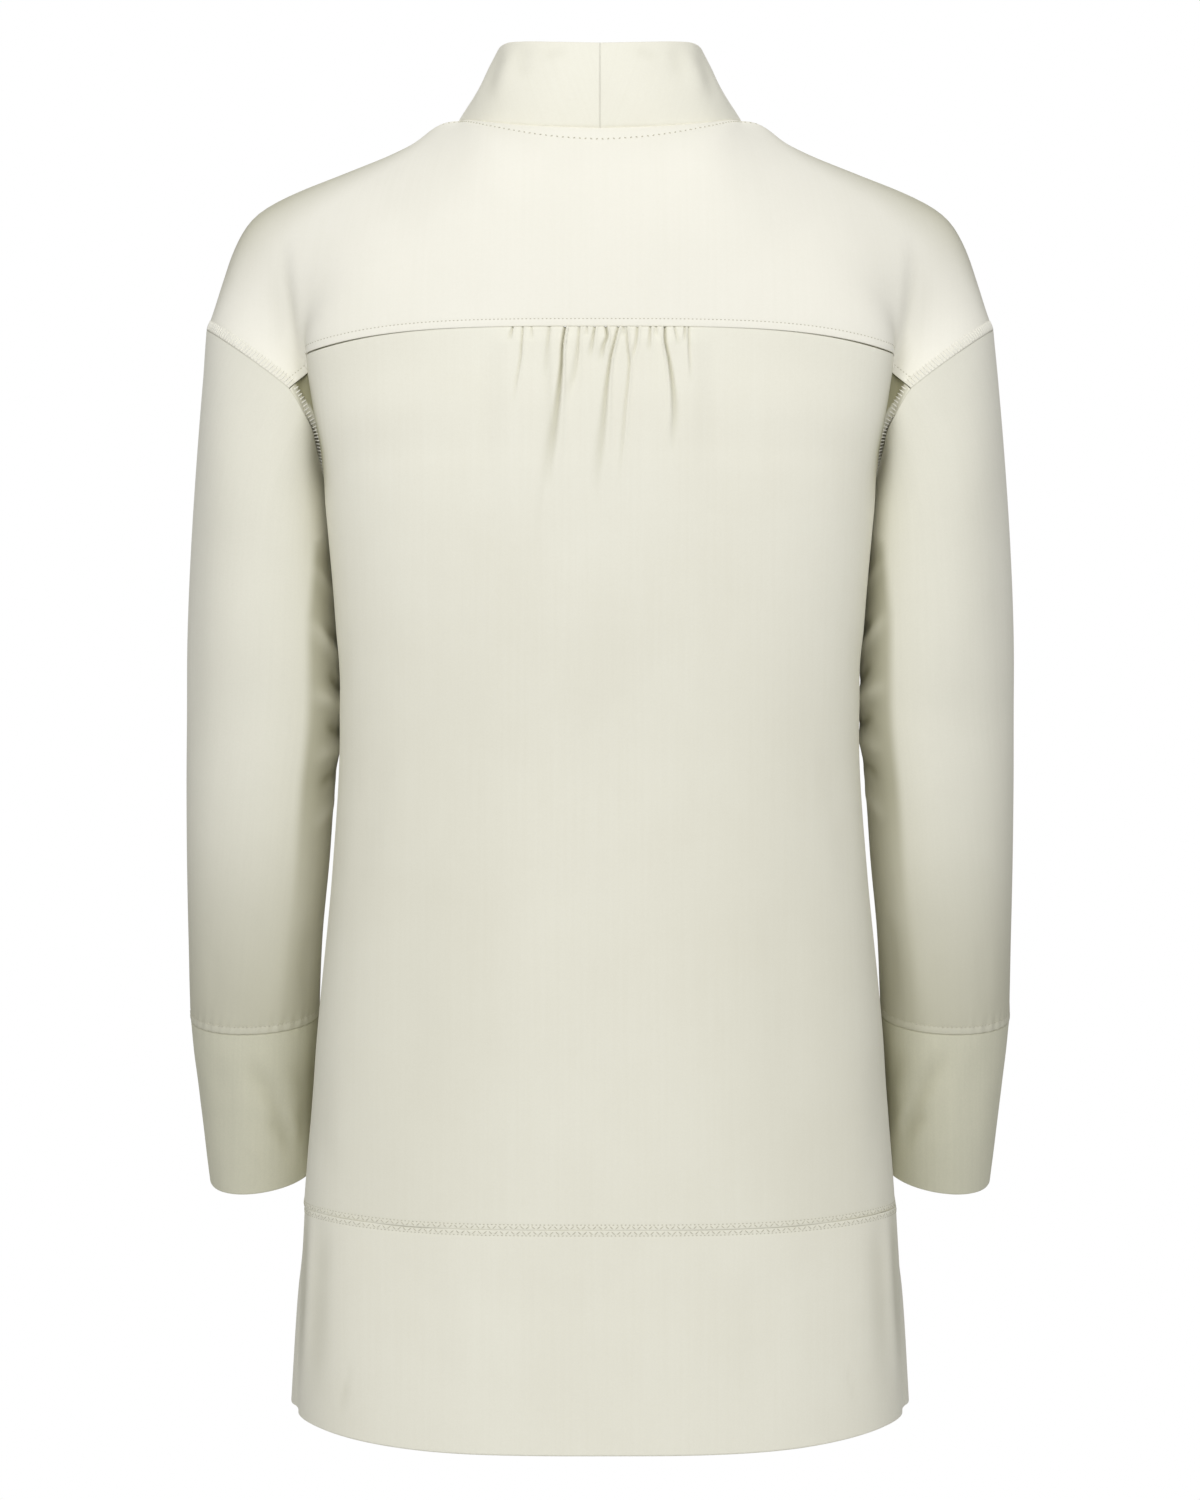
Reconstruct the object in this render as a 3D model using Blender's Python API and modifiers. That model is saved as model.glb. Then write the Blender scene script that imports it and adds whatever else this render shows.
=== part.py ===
"""A long women's cardigan in cream jersey, filled out as if worn.

The garment hangs in its worn form: +Z is up, the wearer faces -Y and the wearer's left is +X.
The origin is the middle of the neck opening, level with the points where neck and shoulders meet.
It is cut as a gathered back body under a back yoke, two open fronts, dropped-shoulder sleeves with
deep cuffs, a deep hem band, and a stand collar whose halves run down the fronts as bands.

Every table below is in millimetres and gives the inner face of the cloth. The cloth's wall stands
outwards from that face.
"""

import math
from collections import namedtuple

import bmesh
import bpy
import numpy as np

MM = 0.001

# Cloth
WALL = 2.0              # jersey with its seams and body
COLLAR_WALL = 3.0       # collar and front bands, the jersey doubled
SEAM_GAP = 0.3          # between two pieces at a seam
VALLEY_GAP = 0.4        # more of it where the yoke seam runs through the fold beside the armhole

# Places across a panel, from the middle of the body (0) to its armhole or side seam (1)
NECK_SHARE = 0.36       # the neck ends and the shoulder begins
EDGE_SHARE = 0.75       # the panel turns the side of the body
NECK_PLACES = (0.0, 0.072, 0.144, 0.216, 0.288)
SHOULDER_PLACES = (NECK_SHARE, 0.395, 0.43, 0.50, 0.57, 0.64, 0.70, EDGE_SHARE, 0.80, 0.875, 0.94, 1.0)

# Rows down the garment
YOKE_ROWS = 7           # from the shoulder to the yoke seam, and to the same height in front
ARMHOLE_ROWS = 6        # from there to the underarm
BODY_ROWS = 12          # from the underarm to the hem band
BAND_ROWS = 4           # down the hem band
COLLAR_ROWS = 4         # across the collar and front band

# Levels: 0 is the yoke seam, 1 the underarm, 2 the hem band's seam and 3 the hem.
# "middle", "edge" and "valley" are heights at the centre, at the side of the body, and in the fold
# that the panel makes between there and the sleeve.
Section = namedtuple("Section", "level middle edge valley depth half_width edge_y valley_x valley_y roundness")

BACK_SECTIONS = (
    Section(0.00, -134, -147, -155, 101.0, 172.6, 60, 174.0, 46, 2.1),
    Section(0.33, -152, -172, -180.5, 102.5, 169.8, 54, 170.0, 48.6, 2.1),
    Section(0.58, -178, -194, -202, 104.0, 167.4, 48, 166.9, 40, 2.2),
    Section(0.82, -206, -212, -218, 103.8, 165.2, 42, 163.9, 28, 2.2),
    Section(1.00, -228, -228, -229, 103.0, 163.0, 38, 161.8, 18, 2.3),
    Section(1.16, -298, -297, -297, 98.0, 158.3, 33, 157.6, 13, 2.3),
    Section(1.35, -382, -379, -378, 93.0, 155.3, 30, 154.9, 12, 2.4),
    Section(1.53, -461, -456, -454, 94.5, 159.8, 28, 159.4, 12, 2.4),
    Section(1.75, -558, -551, -549, 100.0, 168.6, 26, 168.3, 12, 2.4),
    Section(2.00, -668, -660, -657, 106.0, 176.6, 24, 176.6, 13, 2.4),
    Section(2.50, -734, -724, -721, 111.0, 179.6, 22, 180.2, 13, 2.4),
    Section(3.00, -800, -785.5, -784.5, 116.0, 180.5, 20, 181.6, 12, 2.4),
)

FRONT_SECTIONS = (
    Section(0.00, -150, -160, -166, 106.0, 168.0, 60, 170.5, 46, 2.2),
    Section(0.20, -161, -173, -180, 109.0, 167.4, 57, 168.6, 44, 2.2),
    Section(0.42, -178, -188, -195, 112.5, 166.4, 53, 166.6, 44, 2.2),
    Section(0.73, -212, -215, -218, 117.0, 164.2, 48, 163.2, 33, 2.2),
    Section(1.00, -236, -234, -231, 118.0, 162.0, 44, 161.5, 21, 2.2),
    Section(1.16, -300, -299, -298, 116.0, 158.8, 40, 157.9, 18, 2.2),
    Section(1.35, -382, -380, -379, 108.0, 155.6, 38, 155.1, 17, 2.3),
    Section(1.53, -459, -456, -455, 104.0, 160.0, 36, 159.7, 16, 2.3),
    Section(1.75, -555, -551, -550, 106.0, 168.8, 34, 168.6, 15, 2.3),
    Section(2.00, -662, -659, -658, 112.0, 177.6, 32, 177.2, 14, 2.3),
    Section(2.50, -726, -722, -721, 116.0, 184.0, 32, 183.0, 13, 2.3),
    Section(3.00, -790, -785, -784.5, 119.0, 188.0, 32, 186.4, 12, 2.3),
)

# Seam lines on the wearer's left; the right is their mirror image
SeamPoint = namedtuple("SeamPoint", "x y z")
BACK_NECK = (
    SeamPoint(0, 59, -12.5), SeamPoint(40, 54, -11), SeamPoint(65.5, 40.5, -8), SeamPoint(79, 21, -5),
    SeamPoint(85, 0, -3.5),
)
SHOULDER = (
    SeamPoint(85, 0, -3.5), SeamPoint(93.5, 0, -4), SeamPoint(101, 0, -7.7), SeamPoint(109, 0, -14.6),
    SeamPoint(119, 0, -20), SeamPoint(155, 0, -35), SeamPoint(190.8, 0, -49.5), SeamPoint(204, 0, -56.5),
    SeamPoint(211.6, 0, -63.2), SeamPoint(220.4, 0, -78), SeamPoint(228, 0, -99.6),
    SeamPoint(235, 0, -121.5), SeamPoint(238, 0, -129.5),
)
BACK_ARMHOLE = (
    SeamPoint(187, 55, -168), SeamPoint(178, 51.5, -181), SeamPoint(171.5, 44.5, -192),
    SeamPoint(167, 31.5, -210), SeamPoint(163, 16, -224), SeamPoint(161, 0, -229),
)
FRONT_ARMHOLE = (
    SeamPoint(184, -51, -172), SeamPoint(175, -48, -186), SeamPoint(169, -38.5, -201),
    SeamPoint(164.5, -21, -220), SeamPoint(161, 0, -229),
)
SidePoint = namedtuple("SidePoint", "level x y z")
SIDE_SEAM = (
    SidePoint(1.00, 161.0, 0, -229), SidePoint(1.16, 157.2, -3, -297), SidePoint(1.35, 154.7, -4, -378),
    SidePoint(1.53, 159.3, -4, -454), SidePoint(1.75, 168.2, -2, -549), SidePoint(2.00, 176.8, 2, -657),
    SidePoint(2.50, 181.0, 4, -721), SidePoint(3.00, 183.2, 5, -784),
)

# How the upper panels leave the neck and reach the yoke seam
BACK_NECK_LEAVES = (0, 30, -26.5)
FRONT_NECK_LEAVES = (0, -38, -26)
SHOULDER_FULLNESS = 0.55        # share of the panel's depth that the shoulder's curve runs straight out
HANG_SHARE = 0.5                # share of its height that the panel hangs straight above the seam
BACK_SLOPE = 0.08               # depth gained for each millimetre down at the yoke seam
FRONT_SLOPE = 0.25
ARMHOLE_SLANT = 1.19            # how far the armhole seam runs in for each millimetre down there

# Fronts and bands
BAND_SEAM = ((0.0, 72), (1.0, 68), (2.0, 70), (3.0, 72))       # level, distance from the centre
FREE_EDGE_X = 20.0              # the bands' edges stand this far from the centre front

# The collar's free edge. Stations: 0 centre back, 1 shoulder, 2 chest, and from there 2 + level.
CollarPoint = namedtuple("CollarPoint", "station x y z")
COLLAR_EDGE = (
    CollarPoint(0.00, 0, 45.1, 40.3), CollarPoint(0.30, 27, 42.5, 41.2), CollarPoint(0.55, 44.5, 34, 42.4),
    CollarPoint(0.75, 54.5, 22.5, 42.9), CollarPoint(0.88, 58.5, 11, 41.6), CollarPoint(1.00, 60.8, -2, 37.5),
    CollarPoint(1.17, 59.3, -16.7, 31.0), CollarPoint(1.33, 55.5, -35.2, 16.0),
    CollarPoint(1.50, 49.5, -53, -4.0), CollarPoint(1.67, 41.8, -72.4, -33.0),
    CollarPoint(1.83, 33.2, -91, -75.0), CollarPoint(2.00, 25.5, -105.5, -124.0),
    CollarPoint(2.33, 21.5, -111.5, -156.0),
)
COLLAR_EDGE_ON_BODY = (2.67, 3.0, 3.16, 3.35, 3.53, 3.75, 4.0, 4.5, 5.0)
# By station: how far its lower edge stands clear of the wall that it is sewn to, and how far it bows
# out between its two edges
COLLAR_LIFT = ((0.0, 1.8), (0.5, 1.9), (1.0, 2.6), (1.7, 2.6), (2.4, SEAM_GAP))
COLLAR_BOW = ((0.0, 2.5), (0.6, 1.6), (1.0, -0.6), (1.4, 1.0), (2.0, 1.4), (2.6, 1.0))

# Sleeve rings from the armhole to the cuff's mouth. "rise" lifts the outer side, "tilt" lowers the back.
Ring = namedtuple("Ring", "down x y z half_width half_depth rise tilt")
SLEEVE_RINGS = (
    Ring(223, 204.2, -1, -223, 47.0, 56.0, 33.3, 0),
    Ring(272, 205.5, -2, -272, 43.3, 54.0, 12.8, 0),
    Ring(320, 205.7, -4, -320, 44.3, 51.0, 3.0, 2),
    Ring(362, 205.6, -8, -362, 44.8, 47.5, 0.0, 4),
    Ring(405, 207.9, -12, -405, 43.0, 45.0, -1.0, 7),
    Ring(450, 209.4, -17, -450, 41.6, 42.5, -1.5, 10),
    Ring(500, 211.7, -26, -500, 39.0, 40.5, -2.0, 12.5),
    Ring(548, 212.5, -36, -548, 37.5, 39.0, -2.0, 14),
    Ring(600, 210.8, -47.5, -600, 34.4, 37.5, -2.0, 14),
    Ring(648, 209.1, -59, -645.2, 31.1, 36.0, -8.5, 18),
)
ARMHOLE_DOWN = 179              # the armhole's place on the same scale
CUFF_SEAM_DOWN = 548
CUFF_MOUTH_DOWN = 648
SLEEVE_ROWS = (ARMHOLE_DOWN, 192, 207, 223, 247, 272, 298, 311, 322, 331, 341, 352, 363, 374, 387, 405, 427,
               450, 480, 514, CUFF_SEAM_DOWN)
CUFF_ROWS = (CUFF_SEAM_DOWN, 573, 598, 623, CUFF_MOUTH_DOWN)
SLEEVE_ROUNDNESS = 2.1
UNDERARM_STEP = 4.4             # the sleeve's underarm stands beside the body's wall, not on it

# Folds inside the elbow: height down the sleeve, how far they stand out, and half their width
ElbowFold = namedtuple("ElbowFold", "down height half_width")
ELBOW_FOLDS = (ElbowFold(322, 2.4, 9), ElbowFold(341, 2.8, 9), ElbowFold(363, 2.2, 10))
ELBOW_FOLD_AROUND = (0.28, 0.40, 0.50)      # where a fold begins, is highest and ends round the sleeve

# Gathers under the yoke: place from the centre at the seam, length, depth as a share of the
# fullness, and how far the lower end drifts to the wearer's left
Gather = namedtuple("Gather", "place length depth drift")
GATHERS = (
    Gather(-52.2, 27, 0.7, -1.2), Gather(-48.0, 9, 0.6, 0.0), Gather(-43.4, 9, 0.6, 0.0),
    Gather(-37.8, 59, 0.9, -6.0), Gather(-33.2, 9, 0.5, 0.0), Gather(-28.8, 14, 0.7, 0.6),
    Gather(-22.6, 20, 0.8, 3.0), Gather(-16.4, 83, 0.9, 4.0), Gather(-12.6, 9, 0.5, 0.0),
    Gather(-9.0, 80, 1.0, 9.5), Gather(-4.2, 20, 0.8, 3.0), Gather(3.8, 14, 0.8, 1.8),
    Gather(8.2, 9, 0.5, 0.0), Gather(12.3, 40, 0.9, 4.9), Gather(20.4, 121, 1.0, 17.0),
    Gather(29.6, 16, 0.7, 0.9), Gather(39.6, 9, 0.6, 0.0), Gather(44.6, 38, 0.9, 5.5),
    Gather(51.7, 8, 0.6, 1.5),
)
FULLNESS = 2.4                  # how far the gathered cloth stands out
FULLNESS_AT_SEAM = 0.5          # share of it left where the seam pinches it
FULLNESS_RISE = 10.0            # it is all there this far below the seam
FULLNESS_FADE = (25.0, 135.0)   # and is gone between these
CLOSEST_GATHERS = 2.4
GATHER_MARGIN = (4.0, 10.0)     # the last crest and the flat cloth, past the last gather
PLAIN_BELOW_ROW = ARMHOLE_ROWS + 1          # the gathered columns thin out below this row
KEEP_EVERY = 4

# Colours of the cloth, red green blue
CREAM = (0.80, 0.78, 0.69)
SLEEVE_CREAM = (0.76, 0.74, 0.65)
CUFF_CREAM = (0.70, 0.68, 0.58)


class SmoothTable:
    """A smooth curve through the rows of a short table, read by the table's first column."""

    def __init__(self, rows):
        table = np.array(rows, float)
        self.keys, self.values = table[:, 0], table[:, 1:]
        steps = np.diff(self.keys)[:, None]
        chords = np.diff(self.values, axis=0) / steps
        inner = (chords[:-1] * steps[1:] + chords[1:] * steps[:-1]) / (steps[:-1] + steps[1:])
        self.slopes = np.vstack([chords[:1], inner, chords[-1:]])

    def at(self, key):
        key = min(max(key, self.keys[0]), self.keys[-1])
        low = min(int(np.searchsorted(self.keys, key, side="right")) - 1, len(self.keys) - 2)
        step = self.keys[low + 1] - self.keys[low]
        part = (key - self.keys[low]) / step
        return ((1 + 2 * part) * (1 - part) ** 2 * self.values[low]
                + part * (1 - part) ** 2 * step * self.slopes[low]
                + part ** 2 * (3 - 2 * part) * self.values[low + 1]
                - part ** 2 * (1 - part) * step * self.slopes[low + 1])


def path(points):
    """A smooth line through points, read from 0 at its start to 1 at its end by length."""
    points = np.array(points, float)
    lengths = np.concatenate([[0.0], np.cumsum(np.linalg.norm(np.diff(points, axis=0), axis=1))])
    return SmoothTable(np.column_stack([lengths / lengths[-1], points]))


def ease(low, high, value):
    """0 below low, 1 above high, and a soft step between them."""
    part = min(max((value - low) / (high - low), 0.0), 1.0)
    return part * part * (3 - 2 * part)


def mix(first, second, part):
    return first + (second - first) * part


# --- the body -------------------------------------------------------------------------------------

BodySide = namedtuple("BodySide", "facing sections armhole neck_leaves slope")
BACK = BodySide(1, SmoothTable(BACK_SECTIONS), path(BACK_ARMHOLE), np.array(BACK_NECK_LEAVES, float), BACK_SLOPE)
FRONT = BodySide(-1, SmoothTable(FRONT_SECTIONS), path(FRONT_ARMHOLE), np.array(FRONT_NECK_LEAVES, float),
                 FRONT_SLOPE)
NECK_LINE = path(BACK_NECK)
SHOULDER_LINE = path(SHOULDER)
SIDE_LINE = SmoothTable(SIDE_SEAM)
BAND_LINE = SmoothTable(BAND_SEAM)


def section_at(side, level):
    return Section(level, *side.sections.at(level))


def swing_of(section, distance):
    """Where a distance from the centre lies on a section, from 0 at the middle to 1 at its edge."""
    return math.asin((distance / section.half_width) ** (section.roundness / 2)) / (math.pi / 2)


def body_point(side, swing, level):
    """A point of the body: swing runs from 0 in the middle to 1 at the edge and 2 at the seam."""
    section = section_at(side, level)
    if swing <= 1:
        turn = swing * math.pi / 2
        outwards = math.sin(turn) ** (2 / section.roundness)
        backwards = max(math.cos(turn), 0.0) ** (2 / section.roundness)
        depth = section.edge_y + (section.depth - section.edge_y) * backwards
        return np.array([section.half_width * outwards, side.facing * depth,
                         mix(section.middle, section.edge, outwards ** 4)])
    edge = np.array([section.half_width, side.facing * section.edge_y, section.edge])
    valley = np.array([section.valley_x, side.facing * section.valley_y, section.valley])
    seam = side.armhole.at(level) if level < 1 else SIDE_LINE.at(level)
    return SmoothTable([(1.0, *edge), (1.5, *valley), (2.0, *seam)]).at(swing)


def back_point(place, level):
    """A point of the back by its place across: negative places are the wearer's right."""
    across = abs(place)
    swing = across / EDGE_SHARE if across <= EDGE_SHARE else 1 + (across - EDGE_SHARE) / (1 - EDGE_SHARE)
    return mirrored_to(place, body_point(BACK, swing, level))


def front_point(place, level):
    """A point of the left front, from its band's seam at NECK_SHARE to its armhole or side seam at 1."""
    start = swing_of(section_at(FRONT, level), BAND_LINE.at(level)[0])
    if place <= EDGE_SHARE:
        swing = mix(start, 1.0, (place - NECK_SHARE) / (EDGE_SHARE - NECK_SHARE))
    else:
        swing = 1 + (place - EDGE_SHARE) / (1 - EDGE_SHARE)
    return body_point(FRONT, swing, level)


def mirrored_to(place, point):
    return point * (-1, 1, 1) if place < 0 else point


def shoulder_point(place):
    """A point of the yoke's top edge: the neck, then the shoulder."""
    if place <= NECK_SHARE:
        return NECK_LINE.at(place / NECK_SHARE)
    return SHOULDER_LINE.at((place - NECK_SHARE) / (1 - NECK_SHARE))


def upper_point(side, place, down):
    """A point between the shoulder (down 0) and the yoke seam's height (down 1)."""
    across = abs(place)
    top = shoulder_point(across)
    bottom = back_point(across, 0) if side is BACK else front_point(across, 0)
    over_shoulder = np.array([0.0, SHOULDER_FULLNESS * bottom[1], 0.0])
    if side is BACK:
        from_neck = ease(0, NECK_SHARE, across)
    else:
        from_neck = ease(NECK_SHARE, 0.6, across)
    leaving = mix(side.neck_leaves, over_shoulder, from_neck)
    slant = ARMHOLE_SLANT * ease(0.85, 1.0, across)
    hanging = np.array([slant, -side.facing * side.slope * (1 - ease(EDGE_SHARE, 1.0, across)), 1.0])
    rising = hanging * HANG_SHARE * (top[2] - bottom[2])
    up = 1 - down
    point = (up ** 3 * top + 3 * up ** 2 * down * (top + leaving) + 3 * up * down ** 2 * (bottom + rising)
             + down ** 3 * bottom)
    return mirrored_to(place, point)


# --- the gathers ----------------------------------------------------------------------------------

def gather_columns(below):
    """Each gathered column's distance from the centre and standing, this far below the yoke seam."""
    fullness = (FULLNESS * mix(FULLNESS_AT_SEAM, 1.0, ease(0, FULLNESS_RISE, below))
                * (1 - ease(*FULLNESS_FADE, below)))
    troughs = []
    for gather in GATHERS:
        place = gather.place + gather.drift * min(below / gather.length, 1.0)
        if troughs:
            place = max(place, troughs[-1][0] + CLOSEST_GATHERS)
        closed = gather.depth * (1 - ease(0.5 * gather.length, gather.length, below))
        troughs.append((place, fullness * (1 - closed)))
    first, last = troughs[0][0], troughs[-1][0]
    columns = [(first - GATHER_MARGIN[1], 0.0), (first - GATHER_MARGIN[0], 0.8 * fullness)]
    for left, right in zip(troughs, troughs[1:]):
        columns += [left, ((left[0] + right[0]) / 2, fullness)]
    columns += [troughs[-1], (last + GATHER_MARGIN[0], 0.8 * fullness), (last + GATHER_MARGIN[1], 0.0)]
    return columns


# --- the sleeves ----------------------------------------------------------------------------------

def armhole_point(around):
    """A point of the left armhole seam: 0 on the shoulder, 0.25 at the yoke seam, 0.5 underarm."""
    side, half = (BACK, around) if around <= 0.5 else (FRONT, 1 - around)
    if half <= 0.25:
        return upper_point(side, 1.0, half / 0.25)
    level = (half - 0.25) / 0.25
    step = UNDERARM_STEP * ease(0.0, 0.5, level)
    return side.armhole.at(level) + (step, 0, 0.25 * step)


def ring_point(ring, around):
    """A point of one sleeve ring: 0 on the outer side, 0.25 at the back, 0.5 on the inner side."""
    turn = around * 2 * math.pi
    share = 2 / SLEEVE_ROUNDNESS
    across = math.copysign(abs(math.cos(turn)) ** share, math.cos(turn)) * ring.half_width
    along = math.copysign(abs(math.sin(turn)) ** share, math.sin(turn)) * ring.half_depth
    rise, tilt = math.radians(ring.rise), math.radians(ring.tilt)
    return np.array([ring.x + across * math.cos(rise), ring.y + along * math.cos(tilt),
                     ring.z + across * math.sin(rise) - along * math.sin(tilt)])


def sleeve_line(around):
    """The line down the left sleeve at one place around it."""
    rings = [(ring.down, *ring_point(ring, around)) for ring in SLEEVE_RINGS]
    return SmoothTable([(ARMHOLE_DOWN, *armhole_point(around))] + rings)


def elbow_fold(around, down):
    """How far the folds inside the elbow stand out at a place on the sleeve."""
    start, crest, end = ELBOW_FOLD_AROUND
    reach = ease(start, crest, around) * (1 - ease(crest, end, around))
    height = 0.0
    for fold in ELBOW_FOLDS:
        part = max(0.0, 1 - ((down - fold.down) / fold.half_width) ** 2)
        height = max(height, fold.height * part)
    return height * reach


# --- the collar and bands ---------------------------------------------------------------------------

def collar_seam_point(station):
    """A point of the seam that joins the left collar and band to the body."""
    if station <= 1:
        return NECK_LINE.at(station)
    if station <= 2:
        return upper_point(FRONT, NECK_SHARE, station - 1)
    return front_point(NECK_SHARE, station - 2)


def band_edge_point(station):
    level = station - 2
    return body_point(FRONT, swing_of(section_at(FRONT, level), FREE_EDGE_X), level)


COLLAR_LINE = SmoothTable(list(COLLAR_EDGE) + [(station, *band_edge_point(station))
                                               for station in COLLAR_EDGE_ON_BODY])


def collar_point(station, across):
    """A point of the left collar: across runs from 0 at the seam to 1 at the free edge."""
    seam, edge = collar_seam_point(station), COLLAR_LINE.at(station)
    small = 0.01
    ahead, behind = min(station + small, 5.0), max(station - small, 0.0)
    along = collar_seam_point(ahead) + COLLAR_LINE.at(ahead) - collar_seam_point(behind) - COLLAR_LINE.at(behind)
    rung = edge - seam
    outwards = np.cross(rung, along)
    outwards /= np.linalg.norm(outwards)
    base = seam + rung / np.linalg.norm(rung) * np.interp(station, *zip(*COLLAR_LIFT))
    bow = np.interp(station, *zip(*COLLAR_BOW))
    return mix(base, edge, across) + outwards * bow * 4 * across * (1 - across)


# --- making cloth ---------------------------------------------------------------------------------

def grid_of(point, rows, columns):
    """The points of a surface, row by row."""
    return np.array([[point(column, row) for column in columns] for row in rows])


def mirror_image(points):
    """The same surface on the wearer's other side, its outer face still outwards."""
    return points[:, ::-1] * np.array([-1.0, 1.0, 1.0])


def draw_back(points, top=True, bottom=True, sides=True, ease_off=0.0):
    """Take half a seam's gap off the edges of a surface, and more, by ease_off, off its lower one."""
    points = points.copy()
    half = SEAM_GAP / 2

    def towards(edge, inner, gap=half):
        step = inner - edge
        return edge + step * gap / np.linalg.norm(step, axis=-1, keepdims=True)

    if sides:
        points[:, 0], points[:, -1] = towards(points[:, 0], points[:, 1]), towards(points[:, -1], points[:, -2])
    if top:
        points[0] = towards(points[0], points[1])
    if bottom:
        points[-1] = towards(points[-1], points[-2], half + ease_off)
    return points


def plain_material(name, colour):
    material = bpy.data.materials.new(name)
    material.use_nodes = True
    shader = material.node_tree.nodes["Principled BSDF"]
    shader.inputs["Base Color"].default_value = (*colour, 1.0)
    shader.inputs["Roughness"].default_value = 0.85
    shader.inputs["Metallic"].default_value = 0.0
    return material


def make_cloth(name, collection, points, colour, wall=WALL, raised=None, tube=False, thin_out=()):
    """One piece of cloth: a surface in its own form, thickened outwards.

    points are the inner face's, row by row; raised is how far the outer face stands out more at
    each of them; thin_out names the columns that end at PLAIN_BELOW_ROW.
    """
    rows, columns = points.shape[:2]
    if raised is None:
        raised = np.zeros((rows, columns))
    thickest = wall + raised.max()
    mesh = bpy.data.meshes.new(name)
    sheet = bmesh.new()
    bmesh.ops.create_grid(sheet, x_segments=columns - 1, y_segments=rows - 1, size=0.5)
    wall_layer = sheet.verts.layers.deform.verify()
    place_of = {}
    for vertex in sheet.verts:
        column = round((vertex.co.x + 0.5) * (columns - 1))
        row = round((vertex.co.y + 0.5) * (rows - 1))
        place_of[vertex] = (row, column)
    for vertex, (row, column) in place_of.items():
        vertex.co = points[row, column] * MM
        vertex[wall_layer][0] = (wall + raised[row, column]) / thickest
    if thin_out:
        spare = [edge for edge in sheet.edges
                 if all(place_of[vertex][1] in thin_out and place_of[vertex][0] >= PLAIN_BELOW_ROW
                        for vertex in edge.verts)
                 and place_of[edge.verts[0]][1] == place_of[edge.verts[1]][1]]
        bmesh.ops.dissolve_edges(sheet, edges=spare, use_verts=True)
    if tube:
        bmesh.ops.remove_doubles(sheet, verts=sheet.verts, dist=1e-6)
    for face in sheet.faces:
        face.smooth = True
    sheet.to_mesh(mesh)
    sheet.free()
    cloth = bpy.data.objects.new(name, mesh)
    collection.objects.link(cloth)
    cloth.vertex_groups.new(name="wall")
    mesh.materials.append(plain_material(name, colour))
    solid = cloth.modifiers.new("wall", "SOLIDIFY")
    solid.thickness = thickest * MM
    solid.offset = 1.0
    solid.vertex_group = "wall"
    solid.use_quality_normals = True
    return cloth


# --- the pieces -----------------------------------------------------------------------------------

def steps(start, end, count):
    return [mix(start, end, index / count) for index in range(count + 1)]


def body_levels():
    return steps(0, 1, ARMHOLE_ROWS) + steps(1, 2, BODY_ROWS)[1:]


def across_the_back(middle):
    """Places across the whole back, from the wearer's right to the left."""
    half = [place for place in NECK_PLACES[3:] + SHOULDER_PLACES]
    return [-place for place in reversed(half)] + list(middle) + half


def make_back_yoke(collection):
    half = list(NECK_PLACES + SHOULDER_PLACES)
    columns = [-place for place in reversed(half[1:])] + half
    points = grid_of(lambda place, down: upper_point(BACK, place, down), steps(0, 1, YOKE_ROWS), columns)
    in_fold = np.array([[VALLEY_GAP if EDGE_SHARE < abs(place) < 1 else 0.0] for place in columns])
    make_cloth("back_yoke", collection, draw_back(points, ease_off=in_fold), CREAM)


def make_back_body(collection):
    levels = body_levels()
    sides = across_the_back(())
    outer = len(sides) // 2
    points, raised = [], []
    for level in levels:
        section = section_at(BACK, level)
        gathered = gather_columns(BACK.sections.at(0)[0] - section.middle)
        middle = [math.copysign(swing_of(section, abs(distance)) * EDGE_SHARE, distance)
                  for distance, _ in gathered]
        places = sides[:outer] + middle + sides[outer:]
        points.append([back_point(place, level) for place in places])
        raised.append([0.0] * outer + [height for _, height in gathered] + [0.0] * outer)
    count = len(raised[0]) - 2 * outer
    thin_out = {outer + index for index in range(1, count - 1) if index % KEEP_EVERY}
    make_cloth("back_body", collection, draw_back(np.array(points)), CREAM, raised=np.array(raised),
               thin_out=thin_out)


def make_fronts(collection):
    columns = list(reversed(SHOULDER_PLACES))
    upper = grid_of(lambda place, down: upper_point(FRONT, place, down), steps(0, 1, YOKE_ROWS)[:-1], columns)
    lower = grid_of(front_point, body_levels(), columns)
    points = draw_back(np.concatenate([upper, lower]))
    make_cloth("front_left", collection, points, CREAM)
    make_cloth("front_right", collection, mirror_image(points), CREAM)


def make_hem_bands(collection):
    levels = steps(2, 3, BAND_ROWS)
    middle = [share * NECK_PLACES[2] for share in (-1, -0.5, 0, 0.5, 1)]
    points = grid_of(back_point, levels, across_the_back(middle))
    make_cloth("hem_band_back", collection, draw_back(points, bottom=False), CREAM)
    points = draw_back(grid_of(front_point, levels, list(reversed(SHOULDER_PLACES))), bottom=False)
    make_cloth("hem_band_left", collection, points, CREAM)
    make_cloth("hem_band_right", collection, mirror_image(points), CREAM)


def places_around():
    """Places around the sleeve that meet the rows of the yoke, back and front."""
    quarter = [share * 0.25 for share in steps(0, 1, YOKE_ROWS)]
    quarter += [0.25 + share * 0.25 for share in steps(0, 1, ARMHOLE_ROWS)[1:]]
    return quarter + [1 - place for place in reversed(quarter[:-1])]


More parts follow.
